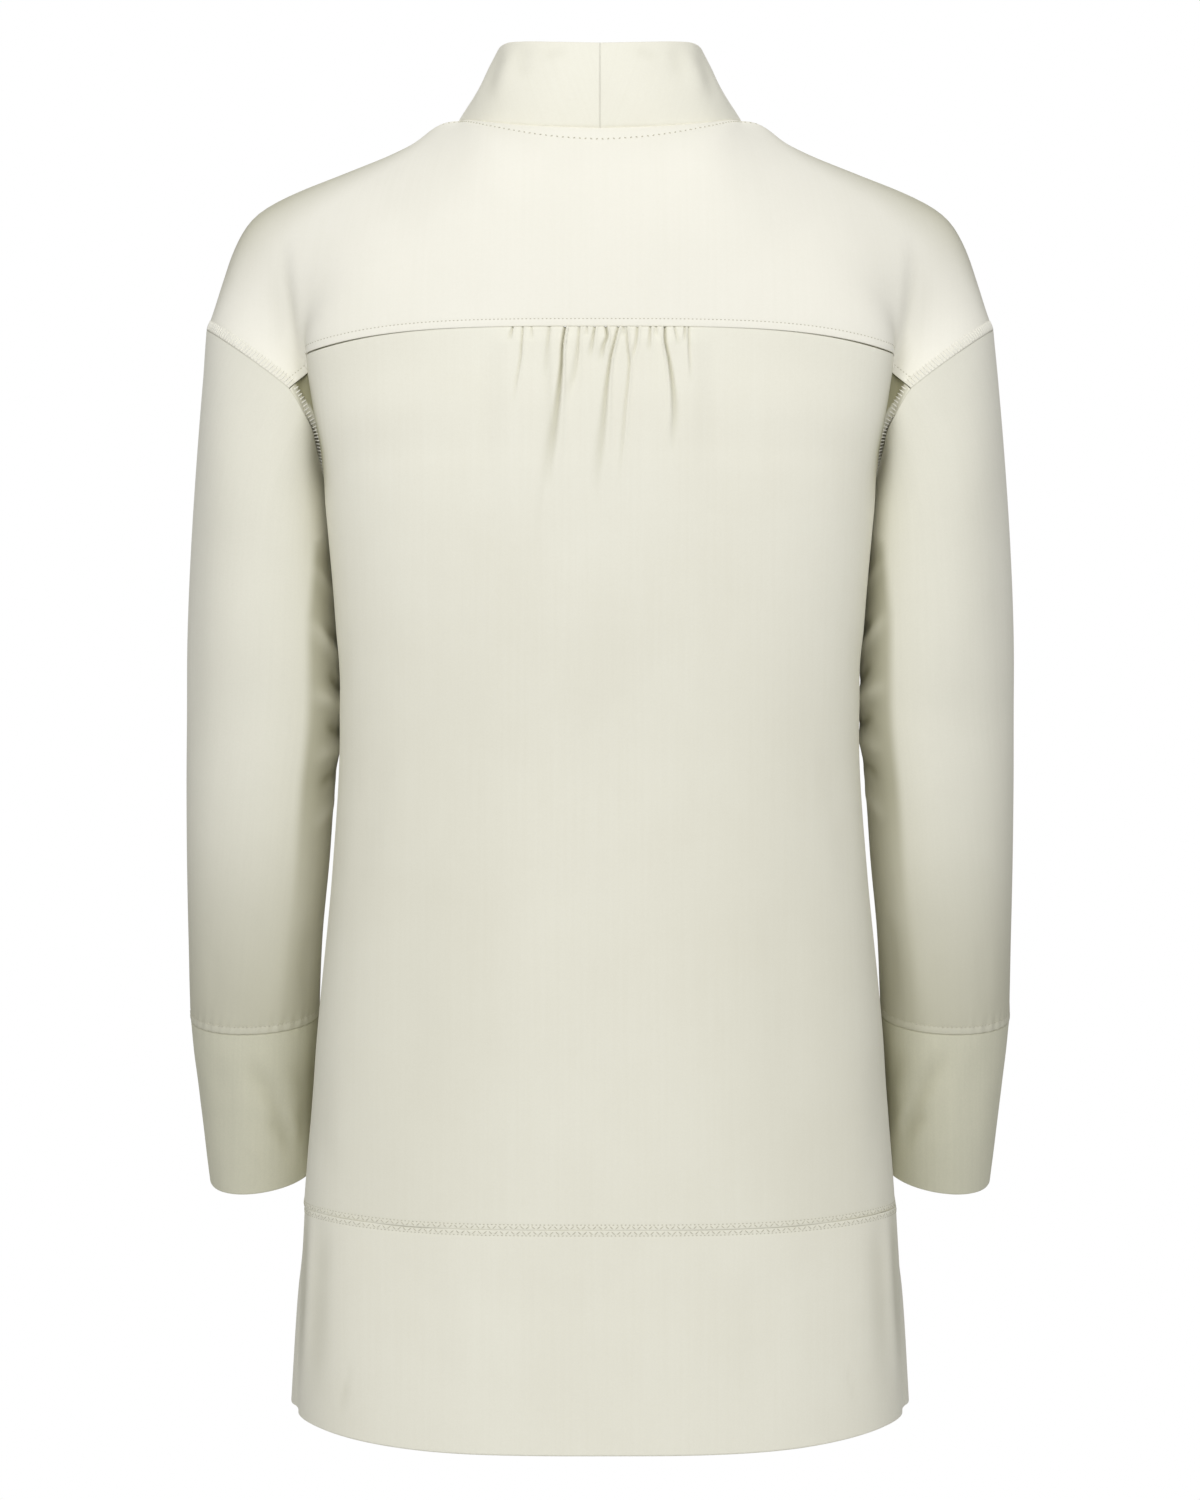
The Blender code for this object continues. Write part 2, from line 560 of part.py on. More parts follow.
def make_sleeves(collection):
    columns = list(reversed(places_around()))
    lines = {place: sleeve_line(place) for place in columns}
    points = grid_of(lambda place, down: lines[place].at(down), SLEEVE_ROWS, columns)
    raised = grid_of(elbow_fold, SLEEVE_ROWS, columns)
    sleeve = draw_back(points, sides=False)
    make_cloth("sleeve_left", collection, sleeve, SLEEVE_CREAM, raised=raised, tube=True)
    make_cloth("sleeve_right", collection, mirror_image(sleeve), SLEEVE_CREAM, raised=raised[:, ::-1],
               tube=True)
    points = grid_of(lambda place, down: lines[place].at(down), CUFF_ROWS, columns)
    cuff = draw_back(points, bottom=False, sides=False)
    make_cloth("cuff_left", collection, cuff, CUFF_CREAM, tube=True)
    make_cloth("cuff_right", collection, mirror_image(cuff), CUFF_CREAM, tube=True)


def make_collars(collection):
    stations = [place / NECK_SHARE for place in NECK_PLACES] + steps(1, 2, YOKE_ROWS)
    stations += [2 + level for level in body_levels()[1:] + steps(2, 3, BAND_ROWS)[1:]]
    points = grid_of(lambda station, across: collar_point(station, across),
                     list(reversed(steps(0, 1, COLLAR_ROWS))), stations)
    points[:, 0, 0] += SEAM_GAP / 2
    make_cloth("collar_left", collection, points, CREAM, wall=COLLAR_WALL)
    make_cloth("collar_right", collection, mirror_image(points), CREAM, wall=COLLAR_WALL)


def main():
    for old in list(bpy.data.objects):
        bpy.data.objects.remove(old, do_unlink=True)
    collection = bpy.data.collections.new("Cardigan")
    bpy.context.scene.collection.children.link(collection)
    make_back_yoke(collection)
    make_back_body(collection)
    make_fronts(collection)
    make_hem_bands(collection)
    make_sleeves(collection)
    make_collars(collection)


main()
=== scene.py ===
"""The looks of a long women's cardigan in cream jersey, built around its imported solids.

The garment keeps its worn form: +Z is up, the wearer faces -Y and the wearer's left is +X. Sizes are
in millimetres until a mesh is made, and each table gives the inner face of the cloth's wall, which
stands outwards from it.
"""

from __future__ import annotations

import logging
import math
from dataclasses import dataclass
from enum import Enum
from typing import Callable, ClassVar, Sequence

import bpy
import numpy as np
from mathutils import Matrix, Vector

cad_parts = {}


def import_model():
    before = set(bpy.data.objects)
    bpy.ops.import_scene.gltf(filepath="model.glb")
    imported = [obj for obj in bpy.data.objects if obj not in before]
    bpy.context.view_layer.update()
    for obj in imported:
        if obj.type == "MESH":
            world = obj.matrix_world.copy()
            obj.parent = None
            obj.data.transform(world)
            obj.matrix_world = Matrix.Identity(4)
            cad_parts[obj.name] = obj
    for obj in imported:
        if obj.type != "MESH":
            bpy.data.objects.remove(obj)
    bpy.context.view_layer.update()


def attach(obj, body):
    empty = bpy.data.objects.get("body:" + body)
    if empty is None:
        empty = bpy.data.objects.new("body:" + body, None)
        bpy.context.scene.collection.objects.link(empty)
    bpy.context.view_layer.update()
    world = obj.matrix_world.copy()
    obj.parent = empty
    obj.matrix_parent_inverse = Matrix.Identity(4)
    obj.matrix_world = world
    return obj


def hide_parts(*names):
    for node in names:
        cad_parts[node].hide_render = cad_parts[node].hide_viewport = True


LOG = logging.getLogger("cardigan")
MM = 0.001

WALL = 2.0              # the outer face stands this far from the form
COLLAR_WALL = 3.0       # and this far on the doubled collar and bands
JERSEY = 1.1            # one layer of cloth
TURNED = 2.0            # a turned edge of two layers

NECK_SHARE = 0.36       # place across a panel where the neck ends and the shoulder begins
EDGE_SHARE = 0.75       # place where the panel turns the side of the body
CELL_GROWTH = 0.2       # how fast a grid's cells grow away from its fine edges
THINNEST = 0.08         # the cloth's thickness at the very edge of a rounded fold

Line = tuple[np.ndarray, np.ndarray]    # points along a line, and the way outwards at each


class Side(Enum):
    """The wearer's left or right, by the sign of X."""

    LEFT = 1
    RIGHT = -1


class StitchKind(Enum):
    """How a row of sewing runs along its line."""

    STRAIGHT = "straight"
    ZIGZAG = "zigzag"
    RUNGS = "rungs"


# --- small tools ------------------------------------------------------------------------------------

def ease(low: np.ndarray | float, high: np.ndarray | float, value: np.ndarray | float) -> np.ndarray:
    """Step softly from 0 below low to 1 above high.

    Args:
        low: where the step begins.
        high: where it ends.
        value: the places to read it at.

    Returns:
        The step's height at each place.
    """
    part = np.clip((np.asarray(value, float) - low) / (high - low), 0.0, 1.0)
    return part * part * (3 - 2 * part)


def fade(low: np.ndarray | float, high: np.ndarray | float, value: np.ndarray | float) -> np.ndarray:
    """Step softly from 1 below low to 0 above high."""
    return 1 - ease(low, high, value)


def between(start: np.ndarray | float, full: np.ndarray | float, fading: np.ndarray | float,
            end: np.ndarray | float, value: np.ndarray | float) -> np.ndarray:
    """Rise softly from 0 at start to 1 at full, and fall softly again from fading to end."""
    return ease(start, full, value) * fade(fading, end, value)


def mix(first: np.ndarray | float, second: np.ndarray | float,
        part: np.ndarray | float) -> np.ndarray | float:
    """Blend two values by a share of the second."""
    return first + (second - first) * part


def read_table(rows: Sequence[tuple[float, float]], at: np.ndarray) -> np.ndarray:
    """Read a table of two columns at places of its first, straight between its rows."""
    return np.interp(at, *zip(*rows))


def lengths_along(points: np.ndarray) -> np.ndarray:
    """Measure along a line of points from its start."""
    return np.concatenate([[0.0], np.cumsum(np.linalg.norm(np.diff(points, axis=0), axis=1))])


def bend(part: np.ndarray, start: np.ndarray, end: np.ndarray, leaving: np.ndarray,
         arriving: np.ndarray) -> np.ndarray:
    """Run a smooth line between two points.

    Args:
        part: how far along it to read, from 0 to 1.
        start: where it starts.
        end: where it ends.
        leaving: the way in which it leaves the start.
        arriving: the way in which it arrives at the end.

    Returns:
        The points there.
    """
    return ((1 + 2 * part) * (1 - part) ** 2 * start + part * (1 - part) ** 2 * leaving
            + part ** 2 * (3 - 2 * part) * end - part ** 2 * (1 - part) * arriving)


def hump(distance: np.ndarray, width: np.ndarray | float) -> np.ndarray:
    """Give a soft bell, 1 at its middle, that is nearly gone two widths away."""
    return np.exp(-(distance / width) ** 2)


class Curve:
    """A smooth curve through the rows of a short table, read by the table's first column."""

    def __init__(self, rows: Sequence[Sequence[float]]) -> None:
        """Keep the table and work out the slope at each row."""
        table = np.array(rows, float)
        self.keys, self.values = table[:, 0], table[:, 1:]
        steps = np.diff(self.keys)[:, None]
        chords = np.diff(self.values, axis=0) / steps
        inner = (chords[:-1] * steps[1:] + chords[1:] * steps[:-1]) / (steps[:-1] + steps[1:])
        self.slopes = np.vstack([chords[:1], inner, chords[-1:]])

    def at(self, keys: np.ndarray | float) -> np.ndarray:
        """Read the curve.

        Args:
            keys: values of the first column, in an array of any shape.

        Returns:
            The other columns at each of them, along a last axis.
        """
        keys = np.clip(np.asarray(keys, float), self.keys[0], self.keys[-1])
        low = np.clip(np.searchsorted(self.keys, keys, side="right") - 1, 0, len(self.keys) - 2)
        step = (self.keys[low + 1] - self.keys[low])[..., None]
        part = (keys - self.keys[low])[..., None] / step
        return bend(part, self.values[low], self.values[low + 1],
                    step * self.slopes[low], step * self.slopes[low + 1])

    @classmethod
    def through(cls, points: Sequence[Sequence[float]]) -> Curve:
        """Make a line through points that is read from 0 at its start to 1 at its end by length."""
        table = np.array(points, float)
        lengths = lengths_along(table)
        return cls(np.column_stack([lengths / lengths[-1], table]))


def places_by_length(line: np.ndarray, keys: np.ndarray,
                     size_of: Callable[[float, float], float]) -> np.ndarray:
    """Choose places along a line whose cells have the sizes that are asked for.

    Args:
        line: points along it.
        keys: the place of each point.
        size_of: gives a cell's size from its distance along the line and the line's length.

    Returns:
        The places, the line's two ends included.
    """
    lengths = lengths_along(line)
    whole = lengths[-1]
    marks = [0.0]
    while marks[-1] < whole:
        marks.append(marks[-1] + size_of(marks[-1], whole))
    return np.interp(np.array(marks) * whole / marks[-1], lengths, keys)


def cell_near(distance: float, band: float, fine: float, growth: float = CELL_GROWTH) -> float:
    """Size a cell by its distance from a place: fine within a band, and then growing."""
    return fine + growth * max(0.0, distance - band)


def fine_ends(fine: float, coarse: float, band: float) -> Callable[[float, float], float]:
    """Make a rule for cells that are fine near both ends of a line and coarser between.

    Args:
        fine: a cell's size at the ends.
        coarse: its size between them.
        band: how far the fine cells reach.

    Returns:
        The rule, for places_by_length.
    """
    def size_of(place: float, whole: float) -> float:
        """Grow the cells away from the nearer end."""
        return min(coarse, cell_near(min(place, whole - place), band, fine))
    return size_of


def relaxed(points: np.ndarray, share: np.ndarray, times: int) -> np.ndarray:
    """Even out a grid of points along its rows.

    Args:
        points: the grid.
        share: how far each point gives way, from 0 to 1.
        times: how often.

    Returns:
        The evened grid.
    """
    points = points.copy()
    give = 0.5 * share[:, 1:-1, None]
    for _ in range(times):
        points[:, 1:-1] += give * ((points[:, :-2] + points[:, 2:]) / 2 - points[:, 1:-1])
    return points


# --- the form -----------------------------------------------------------------------------------------

class BodyForm:
    """The back or the front of the body.

    Level 0 is the yoke seam, 1 the underarm, 2 the hem band's seam and 3 the hem.
    """

    SIDE_SEAM = Curve((                 # level, x, y, z
        (1.00, 161.0, 0, -229), (1.16, 157.2, -3, -297), (1.35, 154.7, -4, -378), (1.53, 159.3, -4, -454),
        (1.75, 168.2, -2, -549), (2.00, 176.8, 2, -657), (2.50, 181.0, 4, -721), (3.00, 183.2, 5, -784)))

    def __init__(self, facing: int, sections: Sequence[Sequence[float]],
                 armhole: Sequence[Sequence[float]], neck_leaves: tuple[float, float, float],
                 slope: float, leaves_by: tuple[float, float]) -> None:
        """Keep one side's tables.

        Args:
            facing: 1 for the back, -1 for the front.
            sections: level, heights at the middle, the edge and the fold's valley, depth, half width,
                edge y, valley x, valley y, roundness.
            armhole: points from the yoke seam's height to the underarm.
            neck_leaves: the way that the panel leaves the neck.
            slope: depth that it gains for each millimetre down at the yoke seam's height.
            leaves_by: places between which the neck's way turns into the shoulder's.
        """
        self.facing = facing
        self.sections = Curve(sections)
        self.armhole = Curve.through(armhole)
        self.neck_leaves = np.array(neck_leaves, float)
        self.slope = slope
        self.leaves_by = leaves_by

    def swing_of(self, distance: np.ndarray, level: np.ndarray) -> np.ndarray:
        """Say where distances from the centre lie across the body, from 0 in the middle to 1 at its edge."""
        section = self.sections.at(level)
        share = np.clip(distance / section[..., 4], 0.0, 1.0) ** (section[..., 8] / 2)
        return np.arcsin(share) / (math.pi / 2)

    def point(self, swing: np.ndarray, level: np.ndarray) -> np.ndarray:
        """Give points of the body.

        Args:
            swing: 0 in the middle, 1 at the edge and 2 at the armhole or side seam.
            level: the level of each.

        Returns:
            The points, along a last axis.
        """
        swing, level = np.broadcast_arrays(np.asarray(swing, float), np.asarray(level, float))
        middle, edge, valley, depth, half_width, edge_y, valley_x, valley_y, roundness = np.moveaxis(
            self.sections.at(level), -1, 0)
        turn = np.clip(swing, 0.0, 1.0) * math.pi / 2
        outwards = np.sin(turn) ** (2 / roundness)
        backwards = np.maximum(np.cos(turn), 0.0) ** (2 / roundness)
        inner = np.stack([half_width * outwards, self.facing * (edge_y + (depth - edge_y) * backwards),
                          mix(middle, edge, outwards ** 4)], -1)
        corner = np.stack([half_width, self.facing * edge_y, edge], -1)
        fold = np.stack([valley_x, self.facing * valley_y, valley], -1)
        seam = np.where(level[..., None] < 1, self.armhole.at(level), self.SIDE_SEAM.at(level))
        into, out_of = fold - corner, seam - fold
        through = (into + out_of) / 2
        to_fold, to_seam = (np.clip((swing - start) * 2, 0.0, 1.0)[..., None] for start in (1, 1.5))
        first = bend(to_fold, corner, fold, into, through)
        second = bend(to_seam, fold, seam, through, out_of)
        outer = np.where(swing[..., None] <= 1.5, first, second)
        return np.where(swing[..., None] <= 1, inner, outer)


BACK = BodyForm(
    1,
    ((0.00, -134, -147, -155, 101.0, 172.6, 60, 174.0, 46, 2.1),
     (0.33, -152, -172, -180.5, 102.5, 169.8, 54, 170.0, 48.6, 2.1),
     (0.58, -178, -194, -202, 104.0, 167.4, 48, 166.9, 40, 2.2),
     (0.82, -206, -212, -218, 103.8, 165.2, 42, 163.9, 28, 2.2),
     (1.00, -228, -228, -229, 103.0, 163.0, 38, 161.8, 18, 2.3),
     (1.16, -298, -297, -297, 98.0, 158.3, 33, 157.6, 13, 2.3),
     (1.35, -382, -379, -378, 93.0, 155.3, 30, 154.9, 12, 2.4),
     (1.53, -461, -456, -454, 94.5, 159.8, 28, 159.4, 12, 2.4),
     (1.75, -558, -551, -549, 100.0, 168.6, 26, 168.3, 12, 2.4),
     (2.00, -668, -660, -657, 106.0, 176.6, 24, 176.6, 13, 2.4),
     (2.50, -734, -724, -721, 111.0, 179.6, 22, 180.2, 13, 2.4),
     (3.00, -800, -785.5, -784.5, 116.0, 180.5, 20, 181.6, 12, 2.4)),
    ((187, 55, -168), (178, 51.5, -181), (171.5, 44.5, -192), (167, 31.5, -210), (163, 16, -224),
     (161, 0, -229)),
    neck_leaves=(0, 30, -26.5), slope=0.08, leaves_by=(0.0, NECK_SHARE))

FRONT = BodyForm(
    -1,
    ((0.00, -150, -160, -166, 106.0, 168.0, 60, 170.5, 46, 2.2),
     (0.20, -161, -173, -180, 109.0, 167.4, 57, 168.6, 44, 2.2),
     (0.42, -178, -188, -195, 112.5, 166.4, 53, 166.6, 44, 2.2),
     (0.73, -212, -215, -218, 117.0, 164.2, 48, 163.2, 33, 2.2),
     (1.00, -236, -234, -231, 118.0, 162.0, 44, 161.5, 21, 2.2),
     (1.16, -300, -299, -298, 116.0, 158.8, 40, 157.9, 18, 2.2),
     (1.35, -382, -380, -379, 108.0, 155.6, 38, 155.1, 17, 2.3),
     (1.53, -459, -456, -455, 104.0, 160.0, 36, 159.7, 16, 2.3),
     (1.75, -555, -551, -550, 106.0, 168.8, 34, 168.6, 15, 2.3),
     (2.00, -662, -659, -658, 112.0, 177.6, 32, 177.2, 14, 2.3),
     (2.50, -726, -722, -721, 116.0, 184.0, 32, 183.0, 13, 2.3),
     (3.00, -790, -785, -784.5, 119.0, 188.0, 32, 186.4, 12, 2.3)),
    ((184, -51, -172), (175, -48, -186), (169, -38.5, -201), (164.5, -21, -220), (161, 0, -229)),
    neck_leaves=(0, -38, -26), slope=0.25, leaves_by=(NECK_SHARE, 0.6))


class GarmentForm:
    """The whole garment's form, piece by piece, on the wearer's left."""

    NECK = Curve.through(((0, 59, -12.5), (40, 54, -11), (65.5, 40.5, -8), (79, 21, -5), (85, 0, -3.5)))
    SHOULDER = Curve.through((
        (85, 0, -3.5), (93.5, 0, -4), (101, 0, -7.7), (109, 0, -14.6), (119, 0, -20), (155, 0, -35),
        (190.8, 0, -49.5), (204, 0, -56.5), (211.6, 0, -63.2), (220.4, 0, -78), (228, 0, -99.6),
        (235, 0, -121.5), (238, 0, -129.5)))
    SHOULDER_FULLNESS = 0.55    # how squarely the cloth leaves the shoulder
    HANG_SHARE = 0.5            # how far it hangs straight above the yoke seam's height
    ARMHOLE_SLANT = 1.19        # how far it slants outwards there, beside the armhole
    UNDERARM_STEP = 4.4         # the sleeve's seam stands this far out of the body's under the arm
    BAND_SEAM = Curve(((0.0, 72), (1.0, 68), (2.0, 70), (3.0, 72)))     # level, distance from the centre
    FREE_EDGE_X = 20.0
    COLLAR_EDGE = (                     # station, x, y, z; 0 centre back, 1 shoulder, 2 chest, 2 + level
        (0.00, 0, 45.1, 40.3), (0.30, 27, 42.5, 41.2), (0.55, 44.5, 34, 42.4), (0.75, 54.5, 22.5, 42.9),
        (0.88, 58.5, 11, 41.6), (1.00, 60.8, -2, 37.5), (1.17, 59.3, -16.7, 31.0), (1.33, 55.5, -35.2, 16.0),
        (1.50, 49.5, -53, -4.0), (1.67, 41.8, -72.4, -33.0), (1.83, 33.2, -91, -75.0),
        (2.00, 25.5, -105.5, -124.0), (2.33, 21.5, -111.5, -156.0))
    EDGE_ON_BODY = (2.67, 3.0, 3.16, 3.35, 3.53, 3.75, 4.0, 4.5, 5.0)
    COLLAR_BOW = (                      # station, how far its middle bows outwards
        (0.0, 2.5), (0.6, 1.6), (1.0, -0.6), (1.4, 1.0), (2.0, 1.4), (2.6, 1.0))
    SLEEVE_RINGS = (                    # down, x, y, z, half width, half depth, rise, tilt
        (223, 204.2, -1, -223, 47.0, 56.0, 33.3, 0), (272, 205.5, -2, -272, 43.3, 54.0, 12.8, 0),
        (320, 205.7, -4, -320, 44.3, 51.0, 3.0, 2), (362, 205.6, -8, -362, 44.8, 47.5, 0.0, 4),
        (405, 207.9, -12, -405, 43.0, 45.0, -1.0, 7), (450, 209.4, -17, -450, 41.6, 42.5, -1.5, 10),
        (500, 211.7, -26, -500, 39.0, 40.5, -2.0, 12.5), (548, 212.5, -36, -548, 37.5, 39.0, -2.0, 14),
        (600, 210.8, -47.5, -600, 34.4, 37.5, -2.0, 14), (648, 209.1, -59, -645.2, 31.1, 36.0, -8.5, 18))
    ARMHOLE_DOWN = 179.0
    CUFF_DOWN = 548.0
    MOUTH_DOWN = 648.0
    SLEEVE_ROUNDNESS = 2.1

    def __init__(self) -> None:
        """Lay the collar's free edge on down the fronts."""
        stations = np.array(self.EDGE_ON_BODY)
        level = stations - 2
        on_body = FRONT.point(FRONT.swing_of(np.full(len(level), self.FREE_EDGE_X), level), level)
        self.collar_edge = Curve(list(self.COLLAR_EDGE) + [(s, *p) for s, p in zip(stations, on_body)])

    @staticmethod
    def back(place: np.ndarray, level: np.ndarray) -> np.ndarray:
        """Give points of the back by place across, negative on the wearer's right, and level."""
        across = np.abs(place)
        past_edge = 1 + (across - EDGE_SHARE) / (1 - EDGE_SHARE)
        points = BACK.point(np.where(across <= EDGE_SHARE, across / EDGE_SHARE, past_edge), level)
        points[..., 0] *= np.where(np.asarray(place) < 0, -1, 1)
        return points

    def front(self, place: np.ndarray, level: np.ndarray) -> np.ndarray:
        """Give points of the left front, from its band's seam to its armhole or side seam."""
        start = FRONT.swing_of(self.BAND_SEAM.at(level)[..., 0], np.asarray(level, float))
        inner = mix(start, 1.0, (place - NECK_SHARE) / (EDGE_SHARE - NECK_SHARE))
        past_edge = 1 + (place - EDGE_SHARE) / (1 - EDGE_SHARE)
        return FRONT.point(np.where(place <= EDGE_SHARE, inner, past_edge), level)

    def upper(self, side: BodyForm, place: np.ndarray, down: np.ndarray) -> np.ndarray:
        """Give points between the shoulder and the yoke seam's height.

        Args:
            side: the back or the front.
            place: places across, negative on the wearer's right.
            down: 0 on the shoulder and 1 at the yoke seam's height.

        Returns:
            The points, along a last axis.
        """
        place, down = np.broadcast_arrays(np.asarray(place, float), np.asarray(down, float))
        across = np.abs(place)
        top = np.where(across[..., None] <= NECK_SHARE, self.NECK.at(across / NECK_SHARE),
                       self.SHOULDER.at((across - NECK_SHARE) / (1 - NECK_SHARE)))
        level = np.zeros_like(across)
        bottom = self.back(across, level) if side is BACK else self.front(across, level)
        zero = np.zeros_like(across)
        over_shoulder = np.stack([zero, self.SHOULDER_FULLNESS * bottom[..., 1], zero], -1)
        leaving = mix(side.neck_leaves, over_shoulder, ease(*side.leaves_by, across)[..., None])
        slant = self.ARMHOLE_SLANT * ease(0.85, 1.0, across)
        backwards = -side.facing * side.slope * fade(EDGE_SHARE, 1.0, across)
        hanging = np.stack([slant, backwards, zero + 1], -1)
        rising = hanging * self.HANG_SHARE * (top[..., 2:] - bottom[..., 2:])
        part, up = down[..., None], 1 - down[..., None]
        points = (up ** 3 * top + 3 * up ** 2 * part * (top + leaving)
                  + 3 * up * part ** 2 * (bottom + rising) + part ** 3 * bottom)
        points[..., 0] *= np.where(place < 0, -1, 1)
        return points

    def armhole(self, around: np.ndarray) -> np.ndarray:
        """Give points of the left armhole: 0 on the shoulder, 0.25 at the yoke seam, 0.5 underarm."""
        points = np.empty((len(around), 3))
        for side, chosen in ((BACK, around <= 0.5), (FRONT, around > 0.5)):
            half = np.where(around <= 0.5, around, 1 - around)
            level = np.clip((half - 0.25) / 0.25, 0.0, 1.0)
            step = self.UNDERARM_STEP * ease(0.0, 0.5, level)
            lower = side.armhole.at(level) + np.stack([step, 0 * step, 0.25 * step], -1)
            upper = self.upper(side, np.ones_like(half), np.clip(half / 0.25, 0.0, 1.0))
            points[chosen] = np.where(half[:, None] <= 0.25, upper, lower)[chosen]
        return points

    def armhole_out(self, around: np.ndarray) -> np.ndarray:
        """Give the way outwards from the body's panels at points of the left armhole."""
        inner, edge = np.empty((len(around), 3)), np.empty((len(around), 3))
        half = np.minimum(around, 1 - around)
        level = np.clip((half - 0.25) / 0.25, 0.0, 1.0)
        for side, panel, chosen in ((BACK, self.back, around <= 0.5), (FRONT, self.front, around > 0.5)):
            for line, place in ((inner, 0.985), (edge, 1.0)):
                places = np.full(half.shape, place)
                above = self.upper(side, places, np.clip(half / 0.25, 0.0, 1.0))
                line[chosen] = np.where(half[:, None] <= 0.25, above, panel(places, level))[chosen]
        outwards = np.cross(np.gradient(edge, axis=0), edge - inner)
        return outwards / np.maximum(np.linalg.norm(outwards, axis=-1, keepdims=True), 1e-9)

    def sleeve(self, around: np.ndarray, down: np.ndarray) -> np.ndarray:
        """Give the left sleeve's points, a row for each distance down and a column for each place around.

        Args:
            around: 0 on the outer side, 0.25 at the back, 0.5 on the inner side, 0.75 in front.
            down: distances down the sleeve, from the armhole to the cuff's mouth.

        Returns:
            The points, row by row.
        """
        turn = around * 2 * math.pi
        share = 2 / self.SLEEVE_ROUNDNESS
        across = np.sign(np.cos(turn)) * np.abs(np.cos(turn)) ** share
        along = np.sign(np.sin(turn)) * np.abs(np.sin(turn)) ** share
        stack = [self.armhole(around)]
        keys = [self.ARMHOLE_DOWN]
        for key, x, y, z, half_width, half_depth, rise, tilt in self.SLEEVE_RINGS:
            rise, tilt = math.radians(rise), math.radians(tilt)
            stack.append(np.stack([x + across * half_width * math.cos(rise),
                                   y + along * half_depth * math.cos(tilt),
                                   z + across * half_width * math.sin(rise)
                                   - along * half_depth * math.sin(tilt)], -1))
            keys.append(key)
        table = np.column_stack([keys, np.array(stack).reshape(len(keys), -1)])
        return Curve(table).at(down).reshape(len(down), len(around), 3)

    def collar_seam(self, station: np.ndarray) -> np.ndarray:
        """Give points of the seam that joins the left collar and band to the body."""
        station = np.asarray(station, float)
        neck = self.NECK.at(np.clip(station, 0, 1))
        edge = np.full(station.shape, NECK_SHARE)
        chest = self.upper(FRONT, edge, np.clip(station - 1, 0, 1))
        front = self.front(edge, np.clip(station - 2, 0, 3))
        return np.where(station[..., None] <= 1, neck, np.where(station[..., None] <= 2, chest, front))

    def collar(self, station: np.ndarray, across: np.ndarray) -> np.ndarray:
        """Give the left collar's points, a row for each place across and a column for each station.

        Args:
            station: 0 centre back, 1 shoulder, 2 chest, then 2 + level.
            across: 0 at the seam and 1 at the free edge.

        Returns:
            The points, row by row.
        """
        seam, edge = self.collar_seam(station), self.collar_edge.at(station)
        both = seam + edge
        along = np.gradient(both, station, axis=0)
        outwards = np.cross(edge - seam, along)
        outwards /= np.linalg.norm(outwards, axis=-1, keepdims=True)
        bow = read_table(self.COLLAR_BOW, station)[:, None]
        part = across[:, None, None]
        return mix(seam, edge, part) + outwards * bow * 4 * part * (1 - part)


FORM = GarmentForm()


# --- cloth ----------------------------------------------------------------------------------------------

@dataclass(frozen=True)
class Crease:
    """A soft trough, or a ridge where its depth is negative, along a path on a piece of cloth."""

    path: tuple[tuple[float, float], ...]
    depth: float
    width: float
    shade: float = 0.0          # painted shade at its bottom; a negative one takes painted shade off a ridge

    def depth_at(self, across: np.ndarray, down: np.ndarray) -> np.ndarray:
        """Say how deep it is at places of the cloth.

        Args:
            across: each place's first co-ordinate, in the path's own.
            down: each place's second co-ordinate.

        Returns:
            The depth at each place, as a share of its greatest.
        """
        nearest = np.full(across.shape, 1e9)
        share = np.zeros(across.shape)
        points = np.array(self.path, float)
        lengths = np.linalg.norm(np.diff(points, axis=0), axis=1)
        passed, whole = 0.0, lengths.sum()
        for start, end, length in zip(points, points[1:], lengths):
            way = (end - start) / length
            along = np.clip((across - start[0]) * way[0] + (down - start[1]) * way[1], 0, length)
            gap = np.hypot(across - start[0] - along * way[0], down - start[1] - along * way[1])
            closer = gap < nearest
            nearest = np.where(closer, gap, nearest)
            share = np.where(closer, (passed + along) / whole, share)
            passed += length
        return between(0.0, 0.35, 0.55, 1.0, share) * hump(nearest, self.width)


@dataclass(frozen=True)
class Wave:
    """A broad slow swell in hanging cloth."""

    height: float
    across: float
    down: float
    shift: float

    def height_at(self, across: np.ndarray, down: np.ndarray) -> np.ndarray:
        """Say how far it lifts the cloth at each place."""
        turns = across / self.across + down / self.down + self.shift
        return self.height * np.sin(2 * math.pi * turns)


def place_mesh(mesh: bpy.types.Mesh) -> bpy.types.Object:
    """Smooth a finished mesh and put it into the scene, on the garment's one body."""
    mesh.polygons.foreach_set("use_smooth", np.ones(len(mesh.polygons), bool))
    mesh.update()
    piece = bpy.data.objects.new(mesh.name, mesh)
    bpy.context.scene.collection.objects.link(piece)
    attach(piece, "root")
    return piece


def mirrored(points: np.ndarray) -> np.ndarray:
    """Give the same surface on the wearer's other side, its outer face still outwards."""
    return points[:, ::-1] * np.array([-1.0, 1.0, 1.0])


